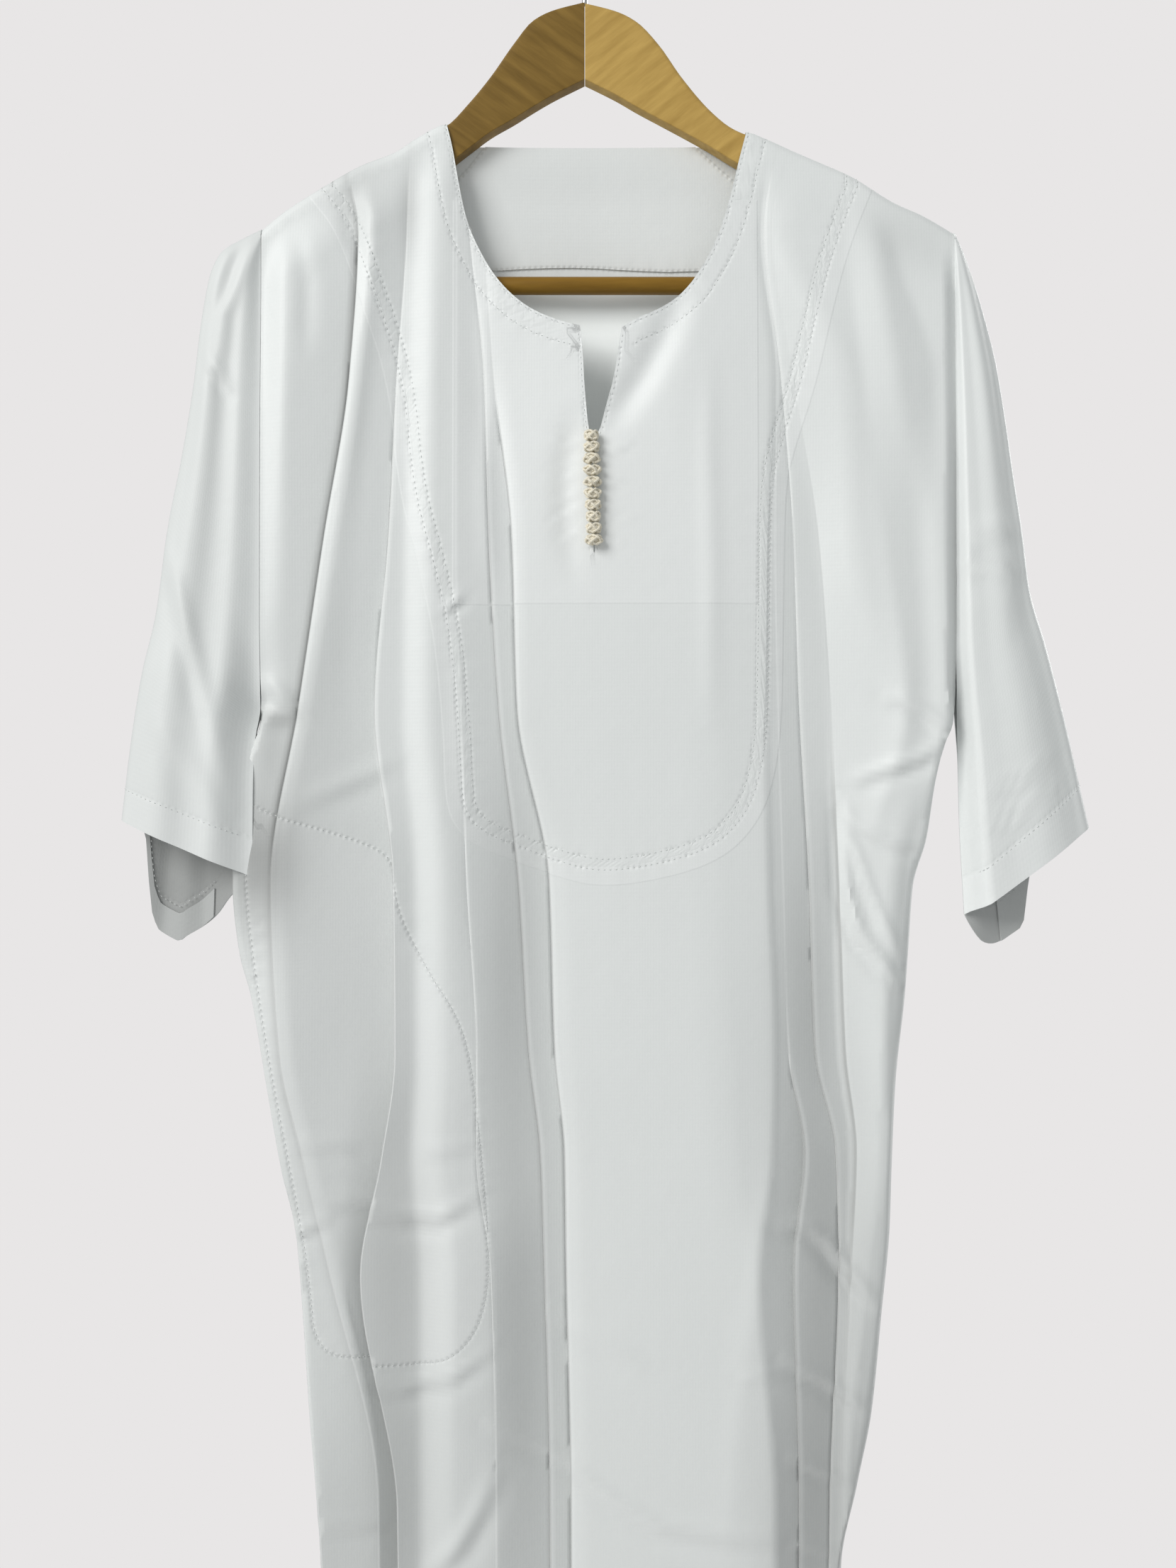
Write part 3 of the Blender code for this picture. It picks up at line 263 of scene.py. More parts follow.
# rings of the sleeves, shoulder to cuff: x and drop of the inner edge and of the outer edge, reach to the
# front and to the back, how far back the inner edge's seam lies, half its opening
sleeveRings = {
    "left": (
        (-200.1, 222.1, -200.1, 215.6, 7, 7, 0, 7.0),
        (-200.1, 236.0, -212.5, 221.5, 9, 9, 0, 7.0),
        (-200.1, 256.0, -224.5, 229.0, 11, 10, 0, 7.0),
        (-200.1, 286.0, -231.5, 242.0, 12, 12, 0, 7.0),
        (-200.1, 326.0, -237.0, 270.0, 13.5, 13, 0, 7.0),
        (-200.1, 376.0, -242.5, 314.0, 15, 14, 0, 7.0),
        (-200.1, 430.0, -249.0, 354.0, 16, 14, 0, 7.0),
        (-200.1, 478.0, -258.0, 400.0, 17.5, 14, 0, 7.0),
        (-200.8, 510.0, -265.5, 455.0, 20, 12, 0, 4.0),
        (-203.2, 532.0, -273.5, 490.0, 23, 11, -8, 0.9),
        (-203.6, 560.0, -280.0, 531.0, 25, 10, -13, 0.9),
        (-203.7, 616.0, -286.0, 581.0, 26, 10, -14, 0.9),
    ),
    "right": (
        (228.7, 224.1, 228.7, 217.6, 7, 7, 0, 7.0),
        (228.7, 240.0, 233.5, 228.0, 10, 9, 0, 7.0),
        (228.7, 262.0, 240.5, 248.0, 12, 10, 0, 7.0),
        (228.7, 290.0, 247.0, 270.0, 14, 12, 0, 7.0),
        (228.7, 325.0, 253.6, 296.0, 16, 13, 0, 7.0),
        (228.7, 370.0, 259.7, 332.0, 18, 14, 0, 7.0),
        (228.7, 420.0, 264.6, 367.0, 20, 15, 0, 7.0),
        (228.7, 470.0, 270.0, 402.0, 22, 15, 0, 7.0),
        (230.5, 514.0, 274.5, 438.0, 23, 15, 0, 4.5),
        (232.0, 546.0, 284.5, 473.0, 24, 15, 0, 0.9),
        (233.0, 585.0, 296.5, 520.0, 25, 14, 0, 0.9),
        (236.0, 640.0, 311.3, 585.3, 24, 14, 0, 0.9),
    ),
}

# outline of each hanger arm: distance from the middle, drop of its top and of its underside
armProfiles = {
    "left": (
        (0.0, 75.0, 123.0), (20.0, 80.3, 133.0), (32.0, 86.5, 140.0), (44.0, 101.0, 147.5),
        (58.0, 121.0, 155.5), (71.5, 137.5, 165.5), (85.5, 151.7, 176.0), (103.6, 160.0, 187.0),
        (117.0, 168.8, 195.0), (139.0, 177.5, 204.0), (161.0, 190.0, 216.0),
        (187.5, 207.0, 234.0), (187.7, 207.2, 259.0), (213.0, 230.0, 259.0),
        (221.0, 240.0, 251.0),
    ),
    "right": (
        (0.0, 75.0, 123.0), (20.0, 80.3, 133.0), (32.0, 86.5, 140.0), (46.0, 101.0, 147.5),
        (60.0, 121.0, 155.0), (78.0, 142.0, 165.0), (91.0, 152.5, 173.0), (100.0, 156.6, 178.0),
        (112.5, 160.9, 184.5), (130.0, 168.8, 193.0), (143.3, 174.5, 199.0),
        (165.4, 184.3, 209.0), (187.5, 198.0, 226.0), (187.7, 198.2, 259.0),
        (212.0, 211.0, 259.0), (221.0, 223.0, 250.0),
    ),
}

# how far the back layer hangs below the front one at the cuff: place round the sleeve, drop
cuffSag = {
    "left": (
        (1.0, 0.0), (1.32, 2.0), (1.38, 52.0), (1.44, 62.0), (1.57, 63.0), (1.63, 57.0),
        (1.71, 48.0), (1.8, 35.0), (1.88, 19.0), (2.0, 0.0),
    ),
    "right": (
        (1.0, 0.0), (1.6, 1.0), (1.64, 33.0), (1.67, 37.0), (1.77, 36.0), (1.82, 34.0),
        (1.89, 27.0), (1.96, 12.0), (2.0, 0.0),
    ),
}

# sleeve folds: side, place round the sleeve at the top and at the cuff, half width, height
sleeveFolds = (
    ("left", 0.62, 0.50, 0.18, 1.6),
    ("left", 0.38, 0.30, 0.16, -1.4),
    ("left", 1.55, 1.45, 0.18, 4.0),
    ("right", 0.40, 0.42, 0.20, 1.6),
    ("right", 0.66, 0.70, 0.16, -1.4),
    ("right", 1.50, 1.45, 0.18, 3.5),
)

# creases: name, line of (x, drop), half width, height, share of trough on the lower side
frontCreases = (
    ("pocket top crease", ((-174, 776), (-143, 782)), 4.0, 1.5, 0.6),
    ("pocket sag", ((-152, 810), (-130, 817), (-112, 822), (-90, 822), (-68, 812)), 4.5, 2.4, 0.8),
    ("side nick", ((-179, 833.5), (-159, 826.5)), 3.5, 1.6, 0.7),
    ("pocket side", ((-99, 781.5), (-68, 780.6)), 4.0, 1.2, 0.5),
    ("pocket foot", ((-134.5, 922.6), (-110, 925), (-82, 918), (-59.5, 905)), 4.5, 2.0, 0.6),
    ("low side", ((-163, 1008.6), (-126, 1015)), 4.0, 1.5, 0.6),
    ("low left", ((-99, 1042), (-77, 1019.6), (-64, 998), (-57, 980)), 6.0, 2.4, 0.6),
    ("long sag", ((-55, 949), (-29, 962), (-2, 980), (20, 995), (46, 1008.6), (77, 1014), (104, 1016.6),
                  (119, 1017)), 5.0, 2.2, 0.7),
    ("middle", ((-11, 887), (33, 909)), 7.0, 1.2, 0.5),
    ("right notch", ((97, 918), (119, 920)), 3.0, 1.2, 0.6),
    ("right hang 1", ((121, 828), (139, 832), (150, 841), (161, 856.5), (174, 874), (184, 882)),
     4.5, 3.2, 0.9),
    ("right hang 2", ((124, 911.6), (148, 925), (176, 948)), 4.5, 2.8, 0.8),
    ("right hang 3", ((126.6, 969), (148, 982), (167.6, 992)), 4.0, 2.0, 0.7),
    ("right hang 4", ((128, 1022), (159, 1034)), 4.0, 1.6, 0.6),
    ("bib tuck", ((-86, 453), (-75, 444)), 3.0, 1.4, 0.8),
    ("chest left", ((-174, 570), (-117, 545.6)), 6.0, 1.2, 0.5),
    ("underarm right 1", ((165, 556.6), (187, 548.7), (205, 543), (218, 534.6)), 4.0, 2.4, 0.7),
    ("underarm right 2", ((158.8, 570), (165, 583), (187, 594), (207, 598.5)), 4.0, 2.2, 0.7),
    ("waist right 1", ((158.8, 578.7), (161, 622.8), (167.6, 649), (183, 671), (196, 682)), 3.6, 3.2, 0.8),
    ("waist right 2", ((161, 583), (172, 618), (183, 645), (195, 667)), 3.4, 2.4, 0.7),
    ("armhole right", ((187, 503.7), (209.5, 514.7), (225, 528)), 4.0, 2.6, 0.7),
    ("slit fold", ((62, 254), (57, 265), (46, 290), (35, 310), (24, 327), (13, 342)), 9.0, -4.0, 0.0),
    ("slit hollow", ((-7, 335), (-12, 365), (-12, 400), (-7, 430)), 7.5, -2.0, 0.0),
    ("slit pucker 1", ((-3, 352), (-12, 350), (-21, 345)), 1.7, 0.55, 0.7),
    ("slit pucker 2", ((-3, 361), (-15, 361)), 1.5, 0.45, 0.7),
    ("slit pucker 3", ((-3, 369), (-13, 372), (-25, 371)), 1.8, 0.6, 0.7),
    ("slit pucker 4", ((-3, 381), (-17, 385)), 1.5, 0.5, 0.7),
    ("slit pucker 5", ((-3, 390), (-12, 394), (-21, 401)), 1.8, 0.6, 0.7),
    ("slit pucker 6", ((-3, 404), (-16, 412)), 1.6, 0.5, 0.7),
    ("slit pucker 7", ((13, 357), (22, 355), (31, 350)), 1.6, 0.5, 0.7),
    ("slit pucker 8", ((13, 374), (25, 375)), 1.5, 0.45, 0.7),
    ("slit pucker 9", ((13, 392), (24, 396), (33, 397)), 1.7, 0.5, 0.7),
    ("slit pucker 10", ((13, 408), (23, 413)), 1.5, 0.45, 0.7),
    ("neck left fold", ((-62, 262), (-60, 300), (-57, 345)), 5.0, 1.2, 0.0),
    ("soft left", ((-60, 330), (-62, 380), (-58, 430)), 5.0, 1.0, 0.0),
    ("soft right", ((76, 300), (75, 360), (77, 430), (76, 520)), 6.0, 1.1, 0.0),
    ("shoulder dip", ((-152, 196), (-146, 212), (-140, 232)), 5.0, -2.2, 0.0),
    ("shoulder dimple", ((-138, 205), (-133, 213)), 3.0, -1.2, 0.0),
    ("shoulder fold", ((-176, 222), (-171, 250), (-172, 290)), 6.0, -1.8, 0.0),
    ("beak", ((-204, 492), (-192, 500), (-180, 510)), 5.5, 3.2, 1.0),
    ("side pucker 1", ((-203, 642), (-197, 641)), 1.8, 0.8, 0.7),
    ("side pucker 2", ((-204, 652), (-196, 653)), 1.8, 0.9, 0.7),
    ("side pucker 3", ((-203, 664), (-194, 662)), 1.8, 0.7, 0.7),
    ("side pucker 4", ((-203, 675), (-194, 677)), 1.8, 0.9, 0.7),
    ("low slant", ((117, 777), (103.6, 865), (97, 918), (92.6, 953.5), (88, 1019.6)), 8.0, 0.8, 0.0),
)

# soft shade in the cloth's colour: x, drop, half width, half height, strength
frontShades = (
    (0, 1474, 900, 600, 0.26),
    (-200, 606, 23, 40, 0.8),
    (-172, 570, 40, 90, 0.16),
    (-150, 690, 44, 90, 0.12),
    (-188, 519, 13, 6, 0.45),
    (-194, 538, 9, 24, 0.22),
    (-116, 840, 26, 95, 0.3),
    (-114, 1000, 26, 110, 0.32),
    (-160, 1020, 24, 60, 0.16),
    (-46, 660, 17, 110, 0.26),
    (-41, 900, 19, 150, 0.3),
    (137, 690, 19, 100, 0.28),
    (150, 860, 28, 120, 0.36),
    (140, 1020, 34, 110, 0.42),
    (-140, 192, 26, 24, 0.24),
    (229, 420, 5, 110, 0.5),
    (196, 222, 30, 22, 0.14),
    (-108, 205, 7, 30, 0.3),
    (-178, 800, 20, 80, 0.1),
)

# painted shade on the back's inside, with the bar's painted shadow below it: the same columns
backShades = (
    (5, 259, 90, 3.6, 0.2),
    (-66, 205, 9, 34, 0.18),
    (84, 200, 9, 34, 0.3),
)

# painted light, a glow where light comes through the back: the same columns
backPaintedLight = ((5, 273, 80, 14, 0.2),)

backCreases = (
    ("left shoulder", ((-170, 300), (-120, 330), (-70, 350)), 9.0, 2.0, 0.6),
    ("right shoulder", ((190, 300), (140, 335), (90, 350)), 9.0, 2.0, 0.6),
    ("waist left", ((-190, 640), (-150, 670), (-120, 720)), 7.0, 2.2, 0.6),
    ("waist right", ((185, 650), (150, 690), (125, 760)), 7.0, 2.2, 0.6),
    ("low sag", ((-120, 930), (-50, 965), (20, 960), (90, 930)), 8.0, 2.4, 0.6),
    ("low left", ((-150, 1100), (-100, 1130), (-60, 1180)), 8.0, 2.0, 0.6),
    ("low right", ((140, 1080), (90, 1120), (60, 1190)), 8.0, 2.0, 0.6),
)

sleeveCreases = (
    ("left elbow", ((-259, 411), (-249, 440), (-238, 480), (-232, 512)), 5.0, 1.2, 0.6),
    ("left elbow 2", ((-259, 411), (-245, 455), (-228, 520), (-214, 574)), 5.0, 1.0, 0.6),
    ("left sleeve head", ((-204, 222), (-213, 248), (-221, 270), (-224, 306)), 4.5, 2.0, 0.7),
    ("left pinch", ((-232, 300), (-224, 306), (-217, 316)), 3.0, 1.4, 0.8),
    ("left hem soft", ((-262, 520), (-240, 548), (-218, 585)), 7.0, 1.0, 0.5),
    ("right hem 1", ((246, 560), (266, 556), (284, 545)), 4.0, 1.1, 0.7),
    ("right hem 2", ((244, 580), (264, 578), (286, 565)), 3.5, 1.0, 0.7),
    ("right fold 1", ((232, 409), (250, 405), (262, 403)), 6.0, 1.5, 0.8),
    ("right fold 2", ((230, 423), (248, 424), (263, 428)), 6.0, 1.5, 0.8),
)


def ease(amount):
    t = np.clip(amount, 0.0, 1.0)
    return t * t * (3.0 - 2.0 * t)


# cubic through the values that never swings past them
def smoothLine(places, values, at):
    places = np.asarray(places, float)
    values = np.asarray(values, float)
    step = np.diff(places)
    slope = np.diff(values) / step
    tangent = np.zeros(len(places))
    sameWay = slope[:-1] * slope[1:] > 0
    middle = np.zeros(len(slope) - 1)
    middle[sameWay] = 2.0 / (1.0 / slope[:-1][sameWay] + 1.0 / slope[1:][sameWay])
    tangent[1:-1] = middle
    tangent[0] = slope[0]
    tangent[-1] = slope[-1]
    at = np.clip(np.asarray(at, float), places[0], places[-1])
    k = np.clip(np.searchsorted(places, at, side="right") - 1, 0, len(step) - 1)
    t = (at - places[k]) / step[k]
    start = values[k] * (1 + 2 * t) * (1 - t) ** 2 + tangent[k] * step[k] * t * (1 - t) ** 2
    end = values[k + 1] * t * t * (3 - 2 * t) + tangent[k + 1] * step[k] * t * t * (t - 1)
    return start + end


# one column of a table of rows, read between the rows by its first column
def readTable(rows, column, at):
    return smoothLine([row[0] for row in rows], [row[column] for row in rows], at)


# height where the cloth leaves the arm and hangs
def wrapStart(x):
    return -readTable(shoulderLine, 1, x) - cloth["solidWall"] / 2 - cloth["wrapHeight"]


def wrapTop(x):
    return wrapStart(x) + cloth["wrapLength"] - cloth["seamGap"] / 2


def sideValue(column, drop):
    return readTable(sideEdges, sideColumns.index(column), drop)


rounding = {
    "offsets": (-0.95, -0.6, -0.3, 0.0, 0.3, 0.6, 0.95),    # where a fold line's rounding is sampled
    "armholeLeft": 17.0,       # reach of the turn into each armhole
    "armholeRight": 7.0,
    "side": 4.0,               # reach of the turn into a side edge
    "closed": 0.9,             # half the opening of a side seam
    "opened": 6.1,             # how much further an armhole opens than a side seam
    "foot": 0.7,               # width of the steep step at a fold's foot
    "creaseFade": 2,           # how much sooner a crease grows in from an edge than the folds do
}


# x and out of each fold at each drop, kept in order across
def foldLines(panel, drop):
    folds = panel["folds"]
    x = np.array([smoothLine(panel["drops"], row[2], drop) for row in folds])
    out = np.array([smoothLine(panel["drops"], row[3], drop) for row in folds])
    order = np.arange(len(folds))[:, None] * rounding["foot"]
    x = np.maximum.accumulate(x - order, axis=0) + order
    for k in range(1, len(folds)):
        if folds[k][0].endswith("foot"):
            x[k] = x[k - 1] + rounding["foot"]
    return x, out


# straight runs from line to line
def betweenLines(lines, values, x):
    level = np.zeros(len(x)) + values[0]
    for k in range(len(lines) - 1):
        share = np.clip((x - lines[k]) / (lines[k + 1] - lines[k]), 0.0, 1.0)
        level = np.where(x > lines[k], values[k] + (values[k + 1] - values[k]) * share, level)
    return level


# how far out the folds stand, with each fold line rounded by its own amount
def foldOut(panel, x, drop):
    lines, outs = foldLines(panel, drop)
    width = betweenLines(lines, [row[1] for row in panel["folds"]], x)
    depth = np.zeros(len(x))
    for offset in rounding["offsets"]:
        depth += betweenLines(lines, outs, x + offset * width) / len(rounding["offsets"])
    return depth


# how dark the step at a fold's foot is, and how far its shade reaches to the left of it
foldShade = {
    "ridge foot": (0.85, 3.0), "shelf foot": (0.55, 1.0), "valley foot": (0.5, 0.6), "other": (0.45, 0.3),
    "fullStep": 3.0,           # height of step that is shaded in full
    "over": 0.1,               # how far the shade runs past the step
}


# painted shade of the steps at the feet of the folds
def foldPaintedShade(panel, x, drop):
    folds = panel["folds"]
    lines, outs = foldLines(panel, drop)
    paintedShade = np.zeros(len(x))
    for k in range(1, len(folds)):
        name = folds[k][0]
        if name.endswith("foot"):
            full, reach = foldShade.get(name, foldShade["other"])
            strength = full * np.clip((outs[k] - outs[k - 1]) / foldShade["fullStep"], 0.0, 1.0)
            left = np.exp(-(np.minimum(x - lines[k - 1], 0.0) / reach) ** 2)
            paintedShade = np.maximum(paintedShade, strength * left * (x < lines[k] + foldShade["over"]))
    return paintedShade


# soft shade of all the spots that reach a point
def shadeOf(shades, places):
    bright = np.ones(len(places))
    for centreX, centreDrop, halfWidth, halfHeight, strength in shades:
        far = ((places[:, 0] - centreX) / halfWidth) ** 2 + ((-places[:, 1] - centreDrop) / halfHeight) ** 2
        bright *= 1.0 - strength * np.exp(-far)
    return 1.0 - bright


# distance of (x, height) points from a line, positive to its left, how far along it they lie, and how
# long it is
def lineDistance(points, line, reach=1e6):
    best = np.full(len(points), reach)
    side = np.ones(len(points))
    along = np.zeros(len(points))
    line = np.asarray(line, float)
    order = np.argsort(points[:, 1])
    levels = points[order, 1]
    before = 0.0
    for start, end in zip(line[:-1], line[1:]):
        run = end - start
        length = math.hypot(*run)
        if length < 1e-9:
            continue
        first = np.searchsorted(levels, min(start[1], end[1]) - reach)
        last = np.searchsorted(levels, max(start[1], end[1]) + reach)
        some = order[first:last]
        away = points[some] - start
        t = np.clip((away @ run) / length ** 2, 0.0, 1.0)
        off = away - t[:, None] * run
        distance = np.hypot(off[:, 0], off[:, 1])
        nearer = distance < best[some]
        turn = run[0] * away[:, 1] - run[1] * away[:, 0]
        chosen = some[nearer]
        best[chosen] = distance[nearer]
        side[chosen] = np.sign(turn[nearer])
        along[chosen] = before + t[nearer] * length
        before += length
    return best * side, along, before


creasing = {
    "reach": 4,                # widths past which a crease is left out
    "ends": 0.02,              # share of the length at each end where the fading stops
    "troughPlace": 1.5,        # widths from the ridge to the trough beside it
    "troughWidth": 1.2,
}


# soft troughs and ridges: each is highest in its middle and runs out at its ends
def creaseOut(creases, x, drop):
    points = np.stack([x, -drop], axis=1)
    out = np.zeros(len(x))
    for _, line, width, height, under in creases:
        path = heights(line)
        low = np.min(path, axis=0) - width * creasing["reach"]
        high = np.max(path, axis=0) + width * creasing["reach"]
        near = np.all((points > low) & (points < high), axis=1)
        if not near.any():
            continue
        distance, along, length = lineDistance(points[near], path)
        fade = np.sin(np.clip(along / length, creasing["ends"], 1 - creasing["ends"]) * math.pi) ** 0.5
        trough = (distance + creasing["troughPlace"] * width) / (creasing["troughWidth"] * width)
        shape = np.exp(-(distance / width) ** 2) - under * np.exp(-trough ** 2)
        out[near] += height * shape * fade
    return out


# middle of a panel's cloth, in mm, over the arms and down to the hem
def panelSurface(panel, x, w):
    x = np.asarray(x, float)
    w = np.asarray(w, float)
    start = wrapStart(x)
    drop = -np.minimum(w, start)
    left = sideValue("left", drop)
    right = sideValue("right", drop)
    opening = sideValue("opening", drop)
    nearLeft = x - left < right - x
    seamOut = np.where(nearLeft, sideValue("leftSeam", drop), sideValue("rightSeam", drop))
    toSleeve = np.clip((opening - rounding["closed"]) / rounding["opened"], 0.0, 1.0)
    armhole = np.where(nearLeft, rounding["armholeLeft"], rounding["armholeRight"])
    width = rounding["side"] + (armhole - rounding["side"]) * toSleeve
    inset = np.clip(np.minimum(x - left, right - x) / width, 0.0, 1.0)
    blend = toSleeve * ease(inset) + (1 - toSleeve) * np.sin(inset * math.pi / 2)
    edge = opening + panel["way"] * seamOut
    depth = edge + (foldOut(panel, x, drop) - edge) * blend
    below = ease((start - w) / cloth["wrapEase"])
    depth = cloth["wrapReach"] + (depth - cloth["wrapReach"]) * below
    crease = creaseOut(panel["creases"], x, drop) * np.clip(inset * rounding["creaseFade"], 0.0, 1.0)
    depth = depth + crease * below
    turn = np.clip((w - start) / cloth["wrapLength"], 0.0, 1.0) * math.pi / 2
    y = panel["way"] * depth * np.cos(turn)
    z = np.minimum(w, start) + cloth["wrapHeight"] * np.sin(turn)
    return np.stack([x, y, z], axis=-1)


def frontSurface(x, w):
    return panelSurface(frontPanel, x, w)


# the line with points added, so that none are further apart than the step
def divide(line, step):
    points = []
    for (ax, aw), (bx, bw) in zip(line[:-1], line[1:]):
        count = max(1, math.ceil(math.hypot(bx - ax, bw - aw) / step))
        for i in range(count):
            points.append((ax + (bx - ax) * i / count, aw + (bw - aw) * i / count))
    points.append(line[-1])
    return points


# rounds of corner cutting that keep both ends
def rounded(line, rounds):
    for _ in range(rounds):
        points = [line[0]]
        for (ax, aw), (bx, bw) in zip(line[:-1], line[1:]):
            points.append((0.75 * ax + 0.25 * bx, 0.75 * aw + 0.25 * bw))
            points.append((0.25 * ax + 0.75 * bx, 0.25 * aw + 0.75 * bw))
        points.append(line[-1])
        line = points
    return line


def heights(line):
    return [(x, -drop) for x, drop in line]


# the point of the shoulder seam over the arm
def topAt(x):
    return (x, float(wrapTop(x)))


def shoulderEdge(xFrom, xTo, step):
    count = max(1, math.ceil(abs(xTo - xFrom) / step))
    return [topAt(xFrom + (xTo - xFrom) * i / count) for i in range(count + 1)]


# a side edge from the shoulder to the hem
def sideEdge(column, step):
    top = topAt(sideEdges[0][sideColumns.index(column)])
    drops = np.arange(-top[1] + step, cloth["hemDrop"], step)
    line = [top] + [(float(sideValue(column, drop)), -float(drop)) for drop in drops]
    return line + [(float(sideValue(column, cloth["hemDrop"])), -cloth["hemDrop"])]


# a panel's outline: along its top line, down the right side, along the hem and up the left side
def panelLoop(top, step):
    left = sideEdge("left", step)
    right = sideEdge("right", step)
    loop = top + shoulderEdge(top[-1][0], right[0][0], step)[1:-1] + right
    loop += divide([right[-1], left[-1]], step)[1:-1] + left[::-1]
    return loop + shoulderEdge(left[0][0], top[0][0], step)[1:-1]


def insideLoop(loop, points):
    result = np.zeros(len(points), bool)
    x, w = points[:, 0], points[:, 1]
    for (ax, aw), (bx, bw) in zip(loop, loop[1:] + loop[:1]):
        if aw == bw:
            continue
        spans = (aw > w) != (bw > w)
        result ^= spans & (x < ax + (w - aw) / (bw - aw) * (bx - ax))
    return result


net = {
    "clear": 0.7,                     # least distance of a free point from a loop
    "sideColumns": (0.8, 1.8, 2.9),   # columns of points just inside the side edges
    "besideStep": 0.5,                # distance of the columns beside a fold's steep step
    "underArm": 3.0,                  # how far under the arms the rows begin
    "overArm": (0.0, 3.0, 6.0, 8.6),  # rows of points over the arms
    "armEnds": (2.0, 1.0),            # how far in from the sides those rows end
    "merge": 1e-4,                    # points closer than this are one
}


# the points that lie clear of the loops
def clearOf(loops, points):
    cell = 8.0
    spots = {}
    for loop in loops:
        for corner in loop:
            spots.setdefault((int(corner[0] // cell), int(corner[1] // cell)), []).append(corner)
    kept = []
    for point in points:
        cx, cw = int(point[0] // cell), int(point[1] // cell)
        near = [c for i in (-1, 0, 1) for j in (-1, 0, 1) for c in spots.get((cx + i, cw + j), ())]
        if all((c[0] - point[0]) ** 2 + (c[1] - point[1]) ** 2 > net["clear"] ** 2 for c in near):
            kept.append(point)
    return kept


def hangsFree(x, w):
    return w < wrapStart(x) - net["underArm"]


# points in rows down a panel, on the fold lines and between them, then over the arms; and the steps' lines
def panelPoints(panel):
    folds = panel["folds"]
    across = panel["across"]
    feet = [k for k in range(1, len(folds)) if folds[k][0].endswith("foot")]
    points = []
    steps = []
    for first, last, spacing in panel["rows"]:
        for drop in np.arange(first, last, spacing):
            lines = foldLines(panel, np.array([drop]))[0][:, 0]
            besideFeet = []
            for k in feet:
                besideFeet += [lines[k - 1] - net["besideStep"], lines[k - 1]]
                besideFeet += [lines[k], lines[k] + net["besideStep"]]
            steps.append([(x, -drop) for x in besideFeet])
            left = float(sideValue("left", drop))
            right = float(sideValue("right", drop))
            points += [(left + inset, -drop) for inset in net["sideColumns"]]
            points += [(right - inset, -drop) for inset in net["sideColumns"]]
            ends = sorted([left + rounding["side"], *lines, right - rounding["side"]])
            for start, end in zip(ends[:-1], ends[1:]):
                count = max(1, round((end - start) / across))
                points += [(start + (end - start) * i / count, -drop) for i in range(count)]
    points = np.array(points)
    points = points[hangsFree(*points.T)]
    ends = [sideEdges[0][sideColumns.index(side)] for side in ("left", "right")]
    xs = np.arange(ends[0] + net["armEnds"][0], ends[1] - net["armEnds"][1], across)
    overArms = np.array([(x, start + up) for x, start in zip(xs, wrapStart(xs)) for up in net["overArm"]])
    chains = [np.array(column) for column in zip(*steps)]
    chains = [chain[hangsFree(*chain.T)] for chain in chains]
    return np.concatenate([points, overArms]), chains


# triangles over a panel that keep every edge of its loops and of its folds' steps
def panelNet(panel, loops):
    points, chains = panelPoints(panel)
    flat = []
    edges = []
    for loop in loops:
        first = len(flat)
        edges += [(first + i, first + (i + 1) % len(loop)) for i in range(len(loop))]
        flat += loop
    for chain in chains:
        edges += [(len(flat) + i, len(flat) + i + 1) for i in range(len(chain) - 1)]
        flat += [*chain]
    flat += clearOf(loops, points)
    flat = [Vector(point) for point in flat]
    vertices, _, faces = delaunay_2d_cdt(flat, edges, [], 0, net["merge"])[:3]
    return np.array(vertices), np.array(faces)


def meshNormals(points, faces):
    a, b, c = (points[faces[:, i]] for i in range(3))
    across = np.cross(b - a, c - a)
    normals = np.zeros_like(points)
    for corner in range(3):
        np.add.at(normals, faces[:, corner], across)
    return normals / np.maximum(np.linalg.norm(normals, axis=1), 1e-9)[:, None]


def meshPiece(name, points, polygons, material):
    mesh = bpy.data.meshes.new(name)
    mesh.from_pydata(points * mm, [], polygons)
    mesh.shade_smooth()
    mesh.materials.append(material)
    piece = bpy.data.objects.new(name, mesh)
    bpy.context.scene.collection.objects.link(piece)
    return piece


def ridden(piece):
    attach(piece, "root")


# each cloth piece and the CAD node that it stands in for
sheets = []


